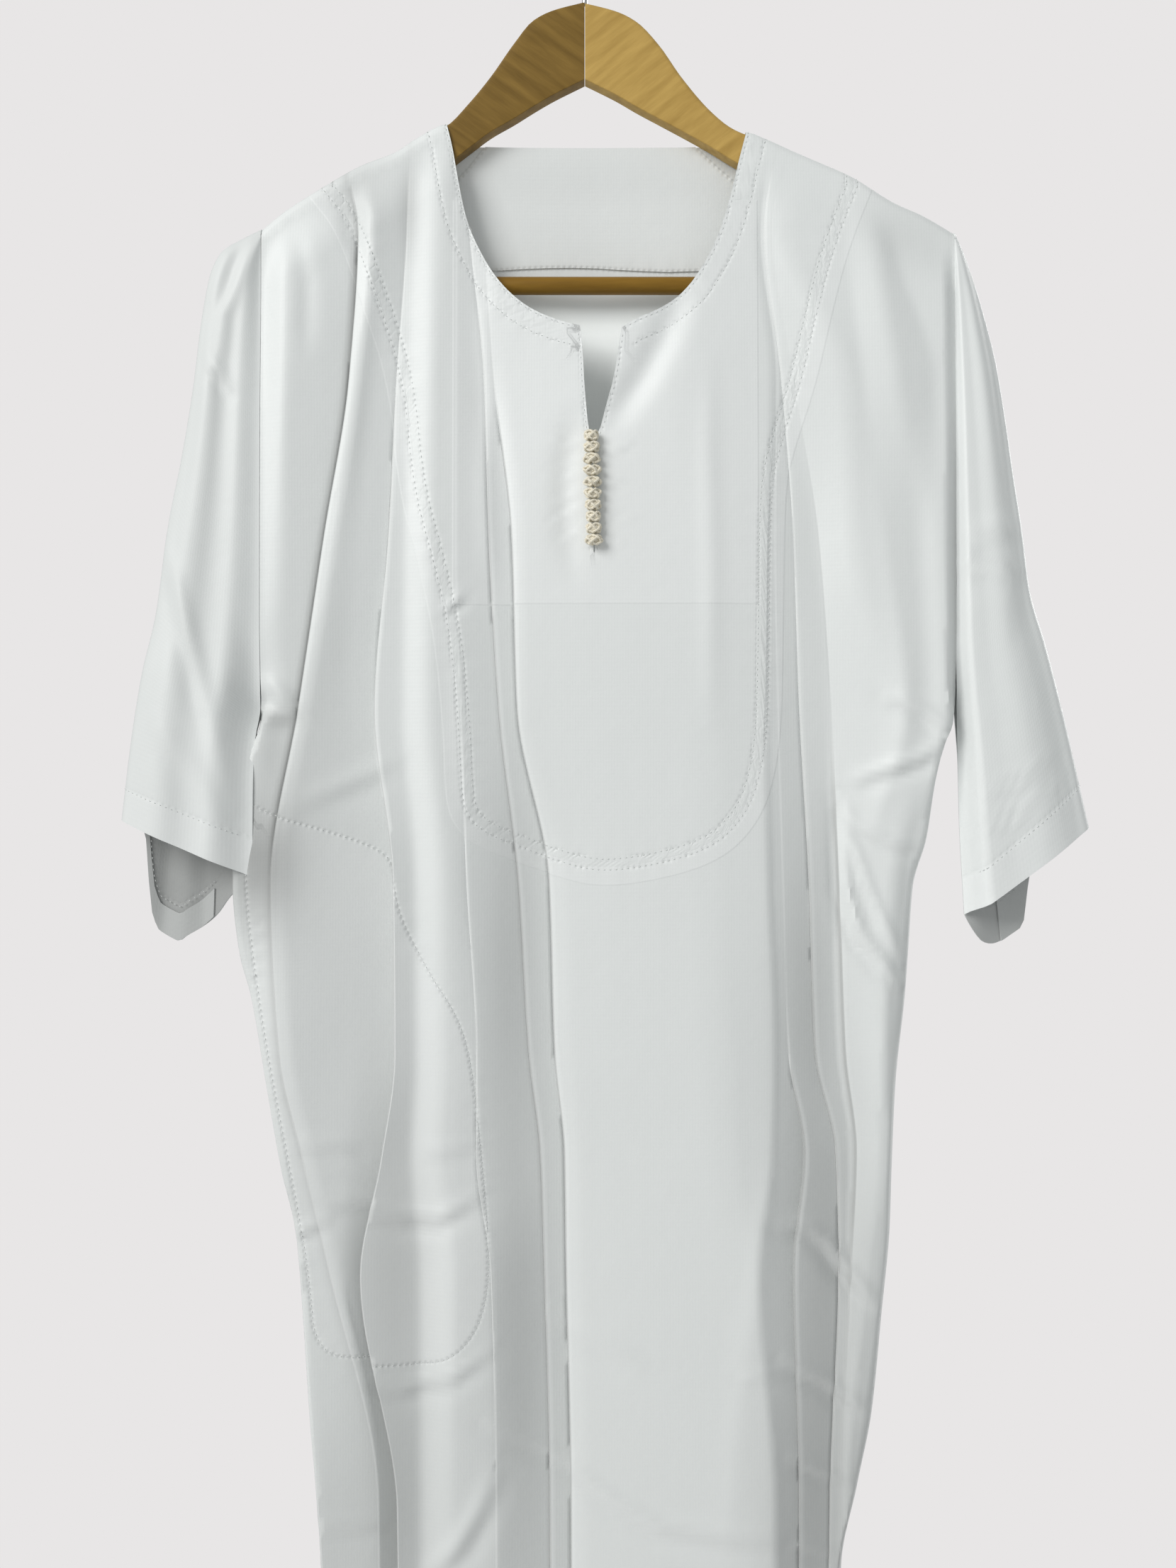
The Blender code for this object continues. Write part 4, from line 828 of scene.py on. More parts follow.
# closed wall of cloth in place of a CAD node, with its flat lie as UV map and its marks as attributes;
# a mark with two sets of values has one for the outer and one for the inner side
def clothPiece(nodeName, middle, normals, faces, offset, flatMap, marks, material):
    used, faces = np.unique(faces, return_inverse=True)
    faces = faces.reshape(-1, 3)
    count = len(used)
    half = cloth["wall"] / 2
    outer = middle[used] + normals[used] * (offset + half)
    inner = middle[used] + normals[used] * (offset - half)
    directed = np.concatenate([faces[:, [0, 1]], faces[:, [1, 2]], faces[:, [2, 0]]])
    code = directed[:, 0].astype(np.int64) * count + directed[:, 1]
    back = directed[:, 1].astype(np.int64) * count + directed[:, 0]
    border = directed[~np.isin(code, back)]
    walls = np.stack([border[:, 1], border[:, 0], border[:, 0] + count, border[:, 1] + count], axis=1)
    polygons = [*faces.tolist(), *(faces[:, ::-1] + count).tolist(), *walls.tolist()]
    piece = meshPiece(nodeName + "_cloth", np.concatenate([outer, inner]), polygons, material)
    mesh = piece.data
    mesh.set_sharp_from_angle(angle=math.radians(cloth["sharpAngle"]))
    corners = np.zeros(len(mesh.loops), np.int32)
    mesh.loops.foreach_get("vertex_index", corners)
    flat = flatMap[used][corners % count] * mm
    mesh.uv_layers.new(name="flat").data.foreach_set("uv", flat.astype(np.float32).ravel())
    for mark, values in marks.items():
        attribute = mesh.attributes.new(mark, "FLOAT", "POINT")
        outerValues, innerValues = values if isinstance(values, tuple) else (values, values)
        both = np.concatenate([outerValues[used], innerValues[used]])
        attribute.data.foreach_set("value", both.astype(np.float32))
    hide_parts(nodeName)
    sheets.append((piece, nodeName))


def opaque(colour):
    return (*colour, 1.0)


def plainMaterial(name, colour, roughness):
    material = bpy.data.materials.new(name)
    material.use_nodes = True
    shader = material.node_tree.nodes["Principled BSDF"]
    shader.inputs["Base Color"].default_value = opaque(colour)
    shader.inputs["Roughness"].default_value = roughness
    return material, material.node_tree, shader


# a node with its settings and inputs, each input a value or a link, by its name or as i and its number
def node(tree, kind, settings=None, **inputs):
    made = tree.nodes.new(kind)
    for key, value in (settings or {}).items():
        setattr(made, key, value)
    for key, value in inputs.items():
        socket = made.inputs[int(key[1:])] if key[0] == "i" and key[1:].isdigit() else made.inputs[key]
        if isinstance(value, bpy.types.NodeSocket):
            tree.links.new(value, socket)
        else:
            socket.default_value = value
    return made


def maths(tree, operation, first, second=0.0, third=0.0):
    return node(tree, "ShaderNodeMath", {"operation": operation}, i0=first, i1=second, i2=third).outputs[0]


def marked(tree, mark):
    return node(tree, "ShaderNodeAttribute", {"attribute_name": mark}).outputs["Fac"]


def noise(tree, place, scale, detail, roughness=0.5):
    made = node(tree, "ShaderNodeTexNoise", Vector=place, Scale=scale, Detail=detail, Roughness=roughness)
    return made.outputs["Fac"]


def waves(tree, place, way, scale, distortion=0.0, detail=2.0):
    made = node(tree, "ShaderNodeTexWave", {"bands_direction": way}, Vector=place, Scale=scale,
                Distortion=distortion, Detail=detail)
    return made.outputs["Fac"]


def mixColour(tree, share, first, second):
    return node(tree, "ShaderNodeMix", {"data_type": "RGBA"}, Factor=share, i6=first, i7=second).outputs[2]


# colour that runs from the first step to the second as the pattern rises
def rampColour(tree, pattern, steps):
    ramp = node(tree, "ShaderNodeValToRGB", Fac=pattern)
    for element, (position, colour) in zip(ramp.color_ramp.elements, steps):
        element.position = position
        element.color = opaque(colour)
    return ramp.outputs[0]


def bumped(tree, shader, height, strength, distance):
    bump = node(tree, "ShaderNodeBump", Strength=strength, Distance=distance * mm, Height=height)
    tree.links.new(bump.outputs["Normal"], shader.inputs["Normal"])


stitch = {
    "length": 2.4, "pitch": 3.6, "width": 0.55, "proud": 0.12,
    "ahead": 0.5,              # how far on along the row its direction is read
    "reach": 24.0,             # how far from a sewn line the cloth knows of it
    "step": 0.4,               # over which the cloth's slope is read
    "steepest": 3.2,           # slope past which a stitch is left out
    "colour": (0.66, 0.68, 0.67),
    "roughness": 0.6,
}

clothLook = {
    "colour": (0.792, 0.81, 0.806),
    "shadeColour": (0.772, 0.792, 0.785),
    "doubled": (0.805, 0.822, 0.818),   # where a facing or a pocket lies under the cloth
    "hollow": (0.27, 0.275, 0.27),      # painted shade: dark colour mixed in deep in the foot of a fold or inside a cuff
    "roughness": 0.46,
    "sheen": 0.25,
    "sheenRoughness": 0.35,
    "specular": 0.35,
    "paintedGlowColour": (0.96, 1.0, 0.98),
    "paintedGlow": 0.0,                        # painted light: an emission glow standing in for light that comes through the thin cloth from behind
    "lit": False,                       # whether that painted glow differs from place to place
    "cloudScale": 5.0,
    "doubledEdge": 0.6,                 # half the width over which a doubled area begins
    "doubledRise": 0.25,
    "seamFall": 0.7,                    # how soon the furrow of a sewn line runs out
    "seamBeat": (-0.5, -0.9),           # the furrow's change from stitch to stitch, and its depth
    "seamRise": 0.55,
    "puckerFall": 0.018,
    "puckerPitch": 9.5,
    "puckerRise": 0.5,
    "rumpleScale": 26.0,
    "rumpleRoughness": 0.55,
    "rumpleRise": 0.9,
    "weftScale": 130.0,
    "warpScale": 185.714,
    "weaveRise": 0.03,
    "bump": 0.6,
}
# the back's cloth: a darker copy of the cloth as painted shade, with a painted glow
backShadedGlowingLook = {
    **clothLook, "colour": (0.735, 0.75, 0.744), "shadeColour": (0.715, 0.73, 0.723),
    "doubled": (0.735, 0.75, 0.744), "paintedGlow": 0.055, "lit": True,
}
# the facing's and pocket's cloth, with a painted glow
facingGlowingLook = {**clothLook, "colour": (0.84, 0.855, 0.85), "roughness": 0.55, "paintedGlow": 0.07}


# 1 on a sewn line, running out to both sides of it
def besideSeam(tree, seam, fall):
    squared = maths(tree, "MULTIPLY", seam, seam)
    return maths(tree, "EXPONENT", maths(tree, "MULTIPLY", squared, -fall))


def clothMaterial(name, look):
    material, tree, shader = plainMaterial(name, look["colour"], look["roughness"])
    shader.inputs["Sheen Weight"].default_value = look["sheen"]
    shader.inputs["Sheen Roughness"].default_value = look["sheenRoughness"]
    shader.inputs["Specular IOR Level"].default_value = look["specular"]
    # painted light: the cloth glows by emission, more where the lit mark says
    shader.inputs["Emission Color"].default_value = opaque(look["paintedGlowColour"])
    shader.inputs["Emission Strength"].default_value = look["paintedGlow"]
    if look["lit"]:
        lit = maths(tree, "ADD", marked(tree, "lit"), look["paintedGlow"])
        tree.links.new(lit, shader.inputs["Emission Strength"])
    place = node(tree, "ShaderNodeTexCoord").outputs["Object"]
    cloudy = noise(tree, place, look["cloudScale"], 3.0)
    tint = mixColour(tree, cloudy, opaque(look["shadeColour"]), opaque(look["colour"]))
    under = marked(tree, "under")
    doubled = node(tree, "ShaderNodeMapRange", {"interpolation_type": "SMOOTHSTEP"}, Value=under)
    doubled.inputs["From Min"].default_value = -look["doubledEdge"]
    doubled.inputs["From Max"].default_value = look["doubledEdge"]
    layered = mixColour(tree, doubled.outputs[0], tint, opaque(look["doubled"]))
    # painted shade: the hollow colour is mixed into the base colour by the mark of painted shade
    shaded = mixColour(tree, marked(tree, "paintedShade"), layered, opaque(look["hollow"]))
    tree.links.new(shaded, shader.inputs["Base Color"])
    seam = marked(tree, "seam")
    along = marked(tree, "along")
    beat = maths(tree, "SINE", maths(tree, "MULTIPLY", along, 2 * math.pi / stitch["pitch"]))
    beat = maths(tree, "MULTIPLY_ADD", beat, *look["seamBeat"])
    dimple = maths(tree, "MULTIPLY", besideSeam(tree, seam, look["seamFall"]), beat)
    ripple = node(tree, "ShaderNodeTexNoise", {"noise_dimensions": "1D"}, W=along, Detail=0.0,
                  Scale=1 / look["puckerPitch"]).outputs["Fac"]
    ripple = maths(tree, "MULTIPLY_ADD", ripple, look["puckerRise"], -look["puckerRise"] / 2)
    height = maths(tree, "MULTIPLY", besideSeam(tree, seam, look["puckerFall"]), ripple)
    rumple = noise(tree, place, look["rumpleScale"], 4.0, look["rumpleRoughness"])
    flat = node(tree, "ShaderNodeUVMap", {"uv_map": "flat"}).outputs["UV"]
    weft = waves(tree, flat, "Y", look["weftScale"])
    warp = waves(tree, flat, "X", look["warpScale"])
    weave = maths(tree, "ADD", weft, warp)
    for pattern, rise in (
        (dimple, look["seamRise"]), (doubled.outputs[0], look["doubledRise"]),
        (rumple, look["rumpleRise"]), (weave, look["weaveRise"]),
    ):
        height = maths(tree, "MULTIPLY_ADD", pattern, rise, height)
    bumped(tree, shader, height, look["bump"], 1.0)
    return material


clothWhite = clothMaterial("clothWhite", clothLook)
clothBackShadedGlowing = clothMaterial("clothBackShadedGlowing", backShadedGlowingLook)
facingWhiteGlowing = clothMaterial("facingWhiteGlowing", facingGlowingLook)
threadWhite = plainMaterial("threadWhite", stitch["colour"], stitch["roughness"])[0]


# how far each point is from the nearest sewn line, how far along it, and how deep in a doubled area
def sewnMarks(points, lines, doubledLoops):
    reach = stitch["reach"]
    seam = np.full(len(points), reach)
    along = np.zeros(len(points))
    for line in lines:
        distance, place, _ = lineDistance(points, line, reach)
        nearer = np.abs(distance) < seam
        seam = np.where(nearer, np.abs(distance), seam)
        along = np.where(nearer, place, along)
    under = np.full(len(points), -reach)
    for loop in doubledLoops:
        distance = np.abs(lineDistance(points, [*loop, loop[0]], reach)[0])
        depth = np.where(insideLoop(loop, points), distance, -distance)
        under = np.maximum(under, depth)
    return {"seam": seam, "along": along, "under": under}


# the line moved to its left
def offsetLine(line, distance):
    points = np.array(line, float)
    run = np.gradient(points, axis=0)
    run /= np.linalg.norm(run, axis=1)[:, None]
    return [tuple(p) for p in points + np.stack([-run[:, 1], run[:, 0]], axis=1) * distance]


# threads of one row, each a slim six-sided bead on the cloth, left out where the cloth is too steep
def stitchRow(row, surface, turn, step, steepest, lift):
    row = np.array(row, float)
    spots = surface(row[:, 0], row[:, 1])
    runs = np.linalg.norm(np.diff(spots, axis=0), axis=1)
    place = np.concatenate([[0.0], np.cumsum(runs)])
    starts = np.arange(stitch["pitch"] / 2, place[-1] - stitch["pitch"] / 2, stitch["pitch"])
    corners, faces = [], []
    if len(starts) == 0:
        return corners, faces
    u, v = (np.interp(starts, place, row[:, k]) for k in (0, 1))
    ahead = surface(*(np.interp(starts + stitch["ahead"], place, row[:, k]) for k in (0, 1)))
    middle = surface(u, v)
    along = ahead - middle
    along /= np.linalg.norm(along, axis=1)[:, None]
    du = surface(u + step, v) - surface(u - step, v)
    dv = surface(u, v + step) - surface(u, v - step)
    calm = np.maximum(np.linalg.norm(du, axis=1), np.linalg.norm(dv, axis=1)) < steepest * step
    middle, along, du, dv = middle[calm], along[calm], du[calm], dv[calm]
    out = np.cross(du, dv) * turn
    out /= np.linalg.norm(out, axis=1)[:, None]
    side = np.cross(out, along)
    middle = middle + out * (cloth["wall"] / 2 + stitch["proud"] + lift)
    half, wide = stitch["length"] / 2, stitch["width"] / 2
    for m, a, o, s in zip(middle, along, out, side):
        base = len(corners)
        corners += [m - a * half - o * wide, m + s * wide, m + o * wide, m - s * wide,
                    m - o * wide, m + a * half - o * wide]
        faces += [(base, base + 1 + (k + 1) % 4, base + 1 + k) for k in range(4)]
        faces += [(base + 5, base + 1 + k, base + 1 + (k + 1) % 4) for k in range(4)]
    return corners, faces


# all the threads of a panel; each run is its rows, the way its cloth turns, and how far out they are lifted
def makeStitching(name, surface, runs, step=stitch["step"], steepest=stitch["steepest"]):
    corners, faces = [], []
    for rows, turn, lift in runs:
        for row in rows:
            base = len(corners)
            moreCorners, moreFaces = stitchRow(row, surface, turn, step, steepest, lift)
            corners += moreCorners
            faces += [tuple(i + base for i in face) for face in moreFaces]
    ridden(meshPiece(name + "_stitching", np.array(corners), faces, threadWhite))


frontPanel = {
    "folds": frontFolds, "drops": foldDrops, "creases": frontCreases, "way": -1,
    "across": 2.8,
    "rows": ((150.0, 660.0, 3.8), (660.0, 1060.0, 4.6), (1060.0, 1470.0, 8.0)),
    "edgeStep": 3.0,
    "seamRounds": 3,
    "neckRounds": {"left": 2, "slitLeft": 1, "slitRight": 1, "right": 2},
    "pocketRounds": 2,
    "least": 0.05,                # points of the neck's edge no further apart than this are one
    "neckRows": (1.4, 12.5),      # stitch rows in from the neck's edge; the second leaves out the slit
    "seamRows": (-1.6, 5.0),      # stitch rows beside the bib's seam, positive towards the bib
    "allowance": 11.0,            # turned-under width beside the bib's seam
    "pocketGap": 6.0,             # how far from the side seam the pocket's stitching ends
}


def makeFront():
    step = frontPanel["edgeStep"]
    seam = rounded(heights(bibSeam), frontPanel["seamRounds"])
    seam = divide([topAt(seam[0][0]), *seam, topAt(seam[-1][0])], step)
    curves = [rounded(heights(neckCurves[part]), rounds) for part, rounds in frontPanel["neckRounds"].items()]
    curves[0] = [topAt(curves[0][0][0]), *curves[0]]
    curves[-1] = [*curves[-1], topAt(curves[-1][-1][0])]
    curves = [divide(curve, step) for curve in curves]
    neck = [p for curve in curves for p in curve]
    neck = [p for k, p in enumerate(neck) if k == 0 or math.dist(p, neck[k - 1]) > frontPanel["least"]]
    bib = neck + shoulderEdge(neck[-1][0], seam[-1][0], step)[1:-1] + seam[::-1]
    bib += shoulderEdge(seam[0][0], neck[0][0], step)[1:-1]
    body = panelLoop(seam, step)
    facing = divide(heights(facingEdge), step)
    pocket = divide(rounded(heights(pocketEdge), frontPanel["pocketRounds"]), step)
    places, faces = panelNet(frontPanel, [bib, body, facing, pocket])
    middleOf = places[faces].mean(axis=1)
    inBib = insideLoop(bib, middleOf)
    inBody = insideLoop(body, middleOf)
    middle = frontSurface(places[:, 0], places[:, 1])
    normals = meshNormals(middle, faces[inBib | inBody])
    neckRuns = [offsetLine(curve, -frontPanel["neckRows"][0]) for curve in curves]
    neckRuns += [offsetLine(curve, -frontPanel["neckRows"][1]) for curve in (curves[0], curves[-1])]
    seamRuns = [offsetLine(seam, distance) for distance in frontPanel["seamRows"]]
    band = seam + offsetLine(seam, -frontPanel["allowance"])[::-1]
    sewnPocket = [p for p in pocket if p[0] > float(sideValue("left", -p[1])) + frontPanel["pocketGap"]]
    # painted shade at the folds' feet and in the soft shade spots, carried to the cloth as a mark
    bright = 1.0 - foldPaintedShade(frontPanel, places[:, 0], -places[:, 1])
    paintedShade = {"paintedShade": 1.0 - bright * (1.0 - shadeOf(frontShades, places))}
    for name, chosen, offset, marks, material in (
        ("front_bib", inBib, 0.0, {**sewnMarks(places, neckRuns + seamRuns, [facing]), **paintedShade}, clothWhite),
        ("front_body", inBody, 0.0, {**sewnMarks(places, seamRuns + [pocket], [pocket, band]), **paintedShade},
         clothWhite),
        ("front_neck_facing", inBib & insideLoop(facing, middleOf), -cloth["layer"],
         sewnMarks(places, [facing], []), facingWhiteGlowing),
        ("pocket_bag", inBody & insideLoop(pocket, middleOf), -cloth["layer"],
         sewnMarks(places, [pocket], []), facingWhiteGlowing),
    ):
        clothPiece(name, middle, normals, faces[chosen], offset, places, marks, material)
    makeStitching("front", frontSurface, [(neckRuns + seamRuns + [sewnPocket], 1, 0.0)])


backPanel = {
    "folds": backFolds, "drops": backDrops, "creases": backCreases, "way": 1,
    "across": 5.0,
    "rows": ((156.0, 640.0, 6.0), (640.0, 1470.0, 8.0)),
    "edgeStep": 4.0,
    "neckRounds": 2,
    "facingRounds": 1,
    "facingShade": {"strength": 0.5, "away": 1.2, "width": 1.1, "below": 215.0},    # under the facing's edge
}


def makeBack():
    step = backPanel["edgeStep"]
    neck = rounded(heights(backNeckline), backPanel["neckRounds"])
    neck = divide([topAt(neck[0][0]), *neck, topAt(neck[-1][0])], step)
    back = panelLoop(neck, step)
    facing = divide(rounded(heights(backFacingEdge), backPanel["facingRounds"]), step)
    places, faces = panelNet(backPanel, [back, facing])
    middleOf = places[faces].mean(axis=1)
    inBack = insideLoop(back, middleOf)
    inFacing = inBack & insideLoop(facing, middleOf)
    layer = -cloth["layer"]
    faces = faces[:, ::-1]
    middle = panelSurface(backPanel, places[:, 0], places[:, 1])
    normals = meshNormals(middle, faces[inBack])
    marks = sewnMarks(places, [facing], [facing])
    # painted shade under the facing's edge and in the back's shade spots, and painted light below the bar
    foot = backPanel["facingShade"]
    shade = np.exp(-((marks["under"] + foot["away"]) / foot["width"]) ** 2) * foot["strength"]
    shade = np.maximum(shade * (places[:, 1] < -foot["below"]), shadeOf(backShades, places))
    bare = np.zeros(len(shade))
    marks["paintedShade"] = (bare, shade)
    marks["lit"] = (bare, shadeOf(backPaintedLight, places))
    clothPiece("back_body", middle, normals, faces[inBack], 0.0, places, marks, clothBackShadedGlowing)
    marks = {**sewnMarks(places, [facing], []), "paintedShade": (shade, bare)}
    clothPiece("back_neck_facing", middle, normals, faces[inFacing], layer, places, marks, clothBackShadedGlowing)


sleeve = {
    "around": 84, "along": 110,              # how many steps there are round and along the sleeve
    "halfRound": 90.0,                       # flat width of its front and of its back
    "ringLength": 40.0,                      # flat length from ring to ring
    "armholeFoot": 511.0,                    # drop down to which it opens as the body's armhole does
    "fullness": 0.55,                        # under 1 flattens the sleeve's front and back
    "edge": {"left": 0.22, "right": 0.1},    # how far from the inner edge the front has its full reach
    "backEdge": 0.3,
    "creaseEdge": 3.0,                       # how sharply creases run out at the outer edge
    "foldStart": 5.0,                        # rings over which the folds grow
    "sagStart": 6.0, "sagLength": 5.0,       # rings over which the back layer comes to hang lower
    "cuffHem": 15.0,
    "hemAround": (0.2, 1.8),                 # part of the cuff that the turned hem covers
    "hemOver": 0.02,                         # rings by which it starts above its stitches
    "farAway": 60.0,                         # distance from a seam where the hem has none
    "outsideShade": {"left": 0.17, "right": 0.0}, "outsideReach": 0.5,
    "insideShade": {"left": 0.84, "right": 0.62}, "insideReach": 0.35,
    "shadeRings": (3.0, 2.4),                # where the inside's shade begins above the cuff, and its run
    "hemShade": 0.75,
    "outerRow": (0.06, 1.94, 160), "innerRow": (1.2, 1.8, 60),
    "stitchStep": 0.02, "steepest": 1e6,
}


# round the sleeve from 0 (front seam) to 2 (back seam), and along it from shoulder to cuff
def sleeveSurface(side):
    rings = sleeveRings[side]
    places = np.arange(len(rings))

    def surface(around, along):
        around = np.asarray(around, float)
        along = np.asarray(along, float)
        innerX, innerDrop, outerX, outerDrop, front, back, seamY, half = (
            smoothLine(places, [row[k] for row in rings], along) for k in range(8))
        half = np.where(innerDrop < sleeve["armholeFoot"], sideValue("opening", innerDrop), half)
        isFront = around <= 1.0
        t = np.where(isFront, around, 2.0 - around)
        share = np.sin(t * math.pi / 2)
        seam = seamY + np.where(isFront, -half, half)
        bulge = np.clip(np.cos(t * math.pi / 2), 0.0, 1.0) ** sleeve["fullness"]
        reach = np.where(isFront, -front, back) * bulge
        y = seam + (reach - seam) * ease(t / np.where(isFront, sleeve["edge"][side], sleeve["backEdge"]))
        for foldSide, atTop, atCuff, width, height in sleeveFolds:
            if foldSide == side:
                place = atTop + (atCuff - atTop) * along / places[-1]
                bump = ease(1 - np.abs(around - place) / width) * ease(along / sleeve["foldStart"])
                y = y + np.where(isFront, -1.0, 1.0) * height * bump
        x = innerX + (outerX - innerX) * share
        drop = innerDrop + (outerDrop - innerDrop) * share
        sag = ease((along - sleeve["sagStart"]) / sleeve["sagLength"])
        drop = drop + readTable(cuffSag[side], 1, around) * sag
        inward = np.clip(np.cos(t * math.pi / 2) * sleeve["creaseEdge"], 0.0, 1.0)
        crease = creaseOut(sleeveCreases, x, drop) * inward
        y = y + np.where(isFront, -crease, 0.0)
        return np.stack([x, y, -drop], axis=-1)

    return surface


def makeSleeve(side):
    surface = sleeveSurface(side)
    last = len(sleeveRings[side]) - 1
    width = sleeve["around"] + 1
    u, v = np.meshgrid(np.linspace(0.0, 2.0, width), np.linspace(0.0, last, sleeve["along"]))
    u, v = u.ravel(), v.ravel()
    middle = surface(u, v)
    rows, columns = np.divmod(np.arange((sleeve["along"] - 1) * sleeve["around"]), sleeve["around"])
    corner = rows * width + columns
    quads = np.stack([corner, corner + 1, corner + width + 1, corner + width], axis=1)
    turn = 1
    if side == "right":
        quads = quads[:, ::-1]
        turn = -1
    faces = quads[:, (0, 1, 2, 0, 2, 3)].reshape(-1, 3)
    normals = meshNormals(middle, faces)
    flatMap = np.stack([u * sleeve["halfRound"], -v * sleeve["ringLength"]], axis=1)
    hemStart = last - sleeve["cuffHem"] / sleeve["ringLength"]
    # painted shade inside the cuff and down the outside of the left sleeve; the turned hem takes the inside's
    # painted shade
    above, run = sleeve["shadeRings"]
    inside = ease((u - 1.0) / sleeve["insideReach"]) * ease((v - last + above) / run)
    inside = inside * sleeve["insideShade"][side]
    outside = ease(u / sleeve["outsideReach"]) * sleeve["outsideShade"][side]
    marks = {
        "seam": np.abs(v - hemStart) * sleeve["ringLength"], "along": u * sleeve["halfRound"],
        "under": (v - hemStart) * sleeve["ringLength"], "paintedShade": (outside, inside),
    }
    clothPiece("sleeve_" + side, middle, normals, faces, 0.0, flatMap, marks, clothWhite)
    hem = (v[faces[:, 0]] > hemStart - sleeve["hemOver"]) & (u[faces].min(axis=1) > sleeve["hemAround"][0])
    hem &= u[faces].max(axis=1) < sleeve["hemAround"][1]
    away = np.full(len(u), sleeve["farAway"])
    marks = {**marks, "seam": away, "under": -away, "paintedShade": inside * sleeve["hemShade"]}
    clothPiece("cuff_hem_" + side, middle, normals, faces[hem], -cloth["layer"], flatMap, marks, clothWhite)
    outerRow = [(k, hemStart) for k in np.linspace(*sleeve["outerRow"])]
    innerRow = [(k, hemStart) for k in np.linspace(*sleeve["innerRow"])]
    runs = [([outerRow], turn, 0.0), ([innerRow], -turn, cloth["layer"])]
    makeStitching("sleeve_" + side, surface, runs, sleeve["stitchStep"], sleeve["steepest"])


# one wood for all three parts; the right arm's lighter colours are painted light and the left arm's darker
# ones painted shade
wood = {
    "left": {"light": (0.275, 0.165, 0.035), "dark": (0.14, 0.078, 0.012), "turn": 36.0},
    "right": {"light": (0.62, 0.41, 0.12), "dark": (0.40, 0.245, 0.06), "turn": -38.0},
    "bar": {"light": (0.28, 0.15, 0.018), "dark": (0.18, 0.092, 0.008), "turn": 0.0},
    "roughness": 0.45, "coat": 0.06, "coatRoughness": 0.3, "specular": 0.22,
    "stretch": 0.12,                         # along the grain
    "ringScale": 150.0, "ringRoughness": 0.65,
    "bandScale": 33.0, "bandBend": 14.0, "bandShare": 0.07,
    "darkAt": 0.25, "lightAt": 0.75, "bump": 0.25, "bumpDepth": 0.3,
}


def woodMaterial(part):
    look = wood[part]
    material, tree, shader = plainMaterial("wood_" + part, look["light"], wood["roughness"])
    shader.inputs["Coat Weight"].default_value = wood["coat"]
    shader.inputs["Coat Roughness"].default_value = wood["coatRoughness"]
    shader.inputs["Specular IOR Level"].default_value = wood["specular"]
    place = node(tree, "ShaderNodeTexCoord").outputs["Object"]
    lie = node(tree, "ShaderNodeMapping", {"vector_type": "TEXTURE"}, Vector=place,
               Rotation=(0.0, math.radians(look["turn"]), 0.0)).outputs[0]
    longways = node(tree, "ShaderNodeMapping", Vector=lie, Scale=(wood["stretch"], 1.0, 1.0)).outputs[0]
    rings = noise(tree, longways, wood["ringScale"], 4.0, wood["ringRoughness"])
    bands = waves(tree, longways, "Z", wood["bandScale"], wood["bandBend"], 4.0)
    bands = maths(tree, "MULTIPLY", bands, wood["bandShare"])
    grain = maths(tree, "MULTIPLY_ADD", rings, 1 - wood["bandShare"], bands)
    steps = ((wood["darkAt"], look["dark"]), (wood["lightAt"], look["light"]))
    tree.links.new(rampColour(tree, grain, steps), shader.inputs["Base Color"])
    bumped(tree, shader, grain, wood["bump"], wood["bumpDepth"])
    return material


def bevelled(piece, width, segments, byWeight=False):
    bevel = piece.modifiers.new("roundedEdges", "BEVEL")
    bevel.limit_method = "WEIGHT" if byWeight else "ANGLE"
    bevel.width = width * mm
    bevel.segments = segments
    bpy.ops.object.modifier_apply(modifier=bevel.name)


# smooth shading with its sharp edges, and the piece in place of its CAD node
def finished(piece, nodeName, material, sharpAngle=None):
    piece.data.shade_smooth()
    if sharpAngle:
        piece.data.set_sharp_from_angle(angle=math.radians(sharpAngle))
    piece.data.materials.append(material)
    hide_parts(nodeName)
    piece.select_set(False)
    ridden(piece)


arm = {
    "thick": 11.4, "topRound": 4.6, "lowRound": 1.2, "roundSegments": 5, "stations": 64, "rows": 5,
    "mitreGap": 0.15,          # from the middle to the face of the mitre
    "near": 0.6,               # how close to the outline an edge lies that is rounded
    "flat": 1.0, "short": 0.3, "offFace": 0.5,    # limits that tell a face's long edges from the others
    "sharpAngle": 40,
}


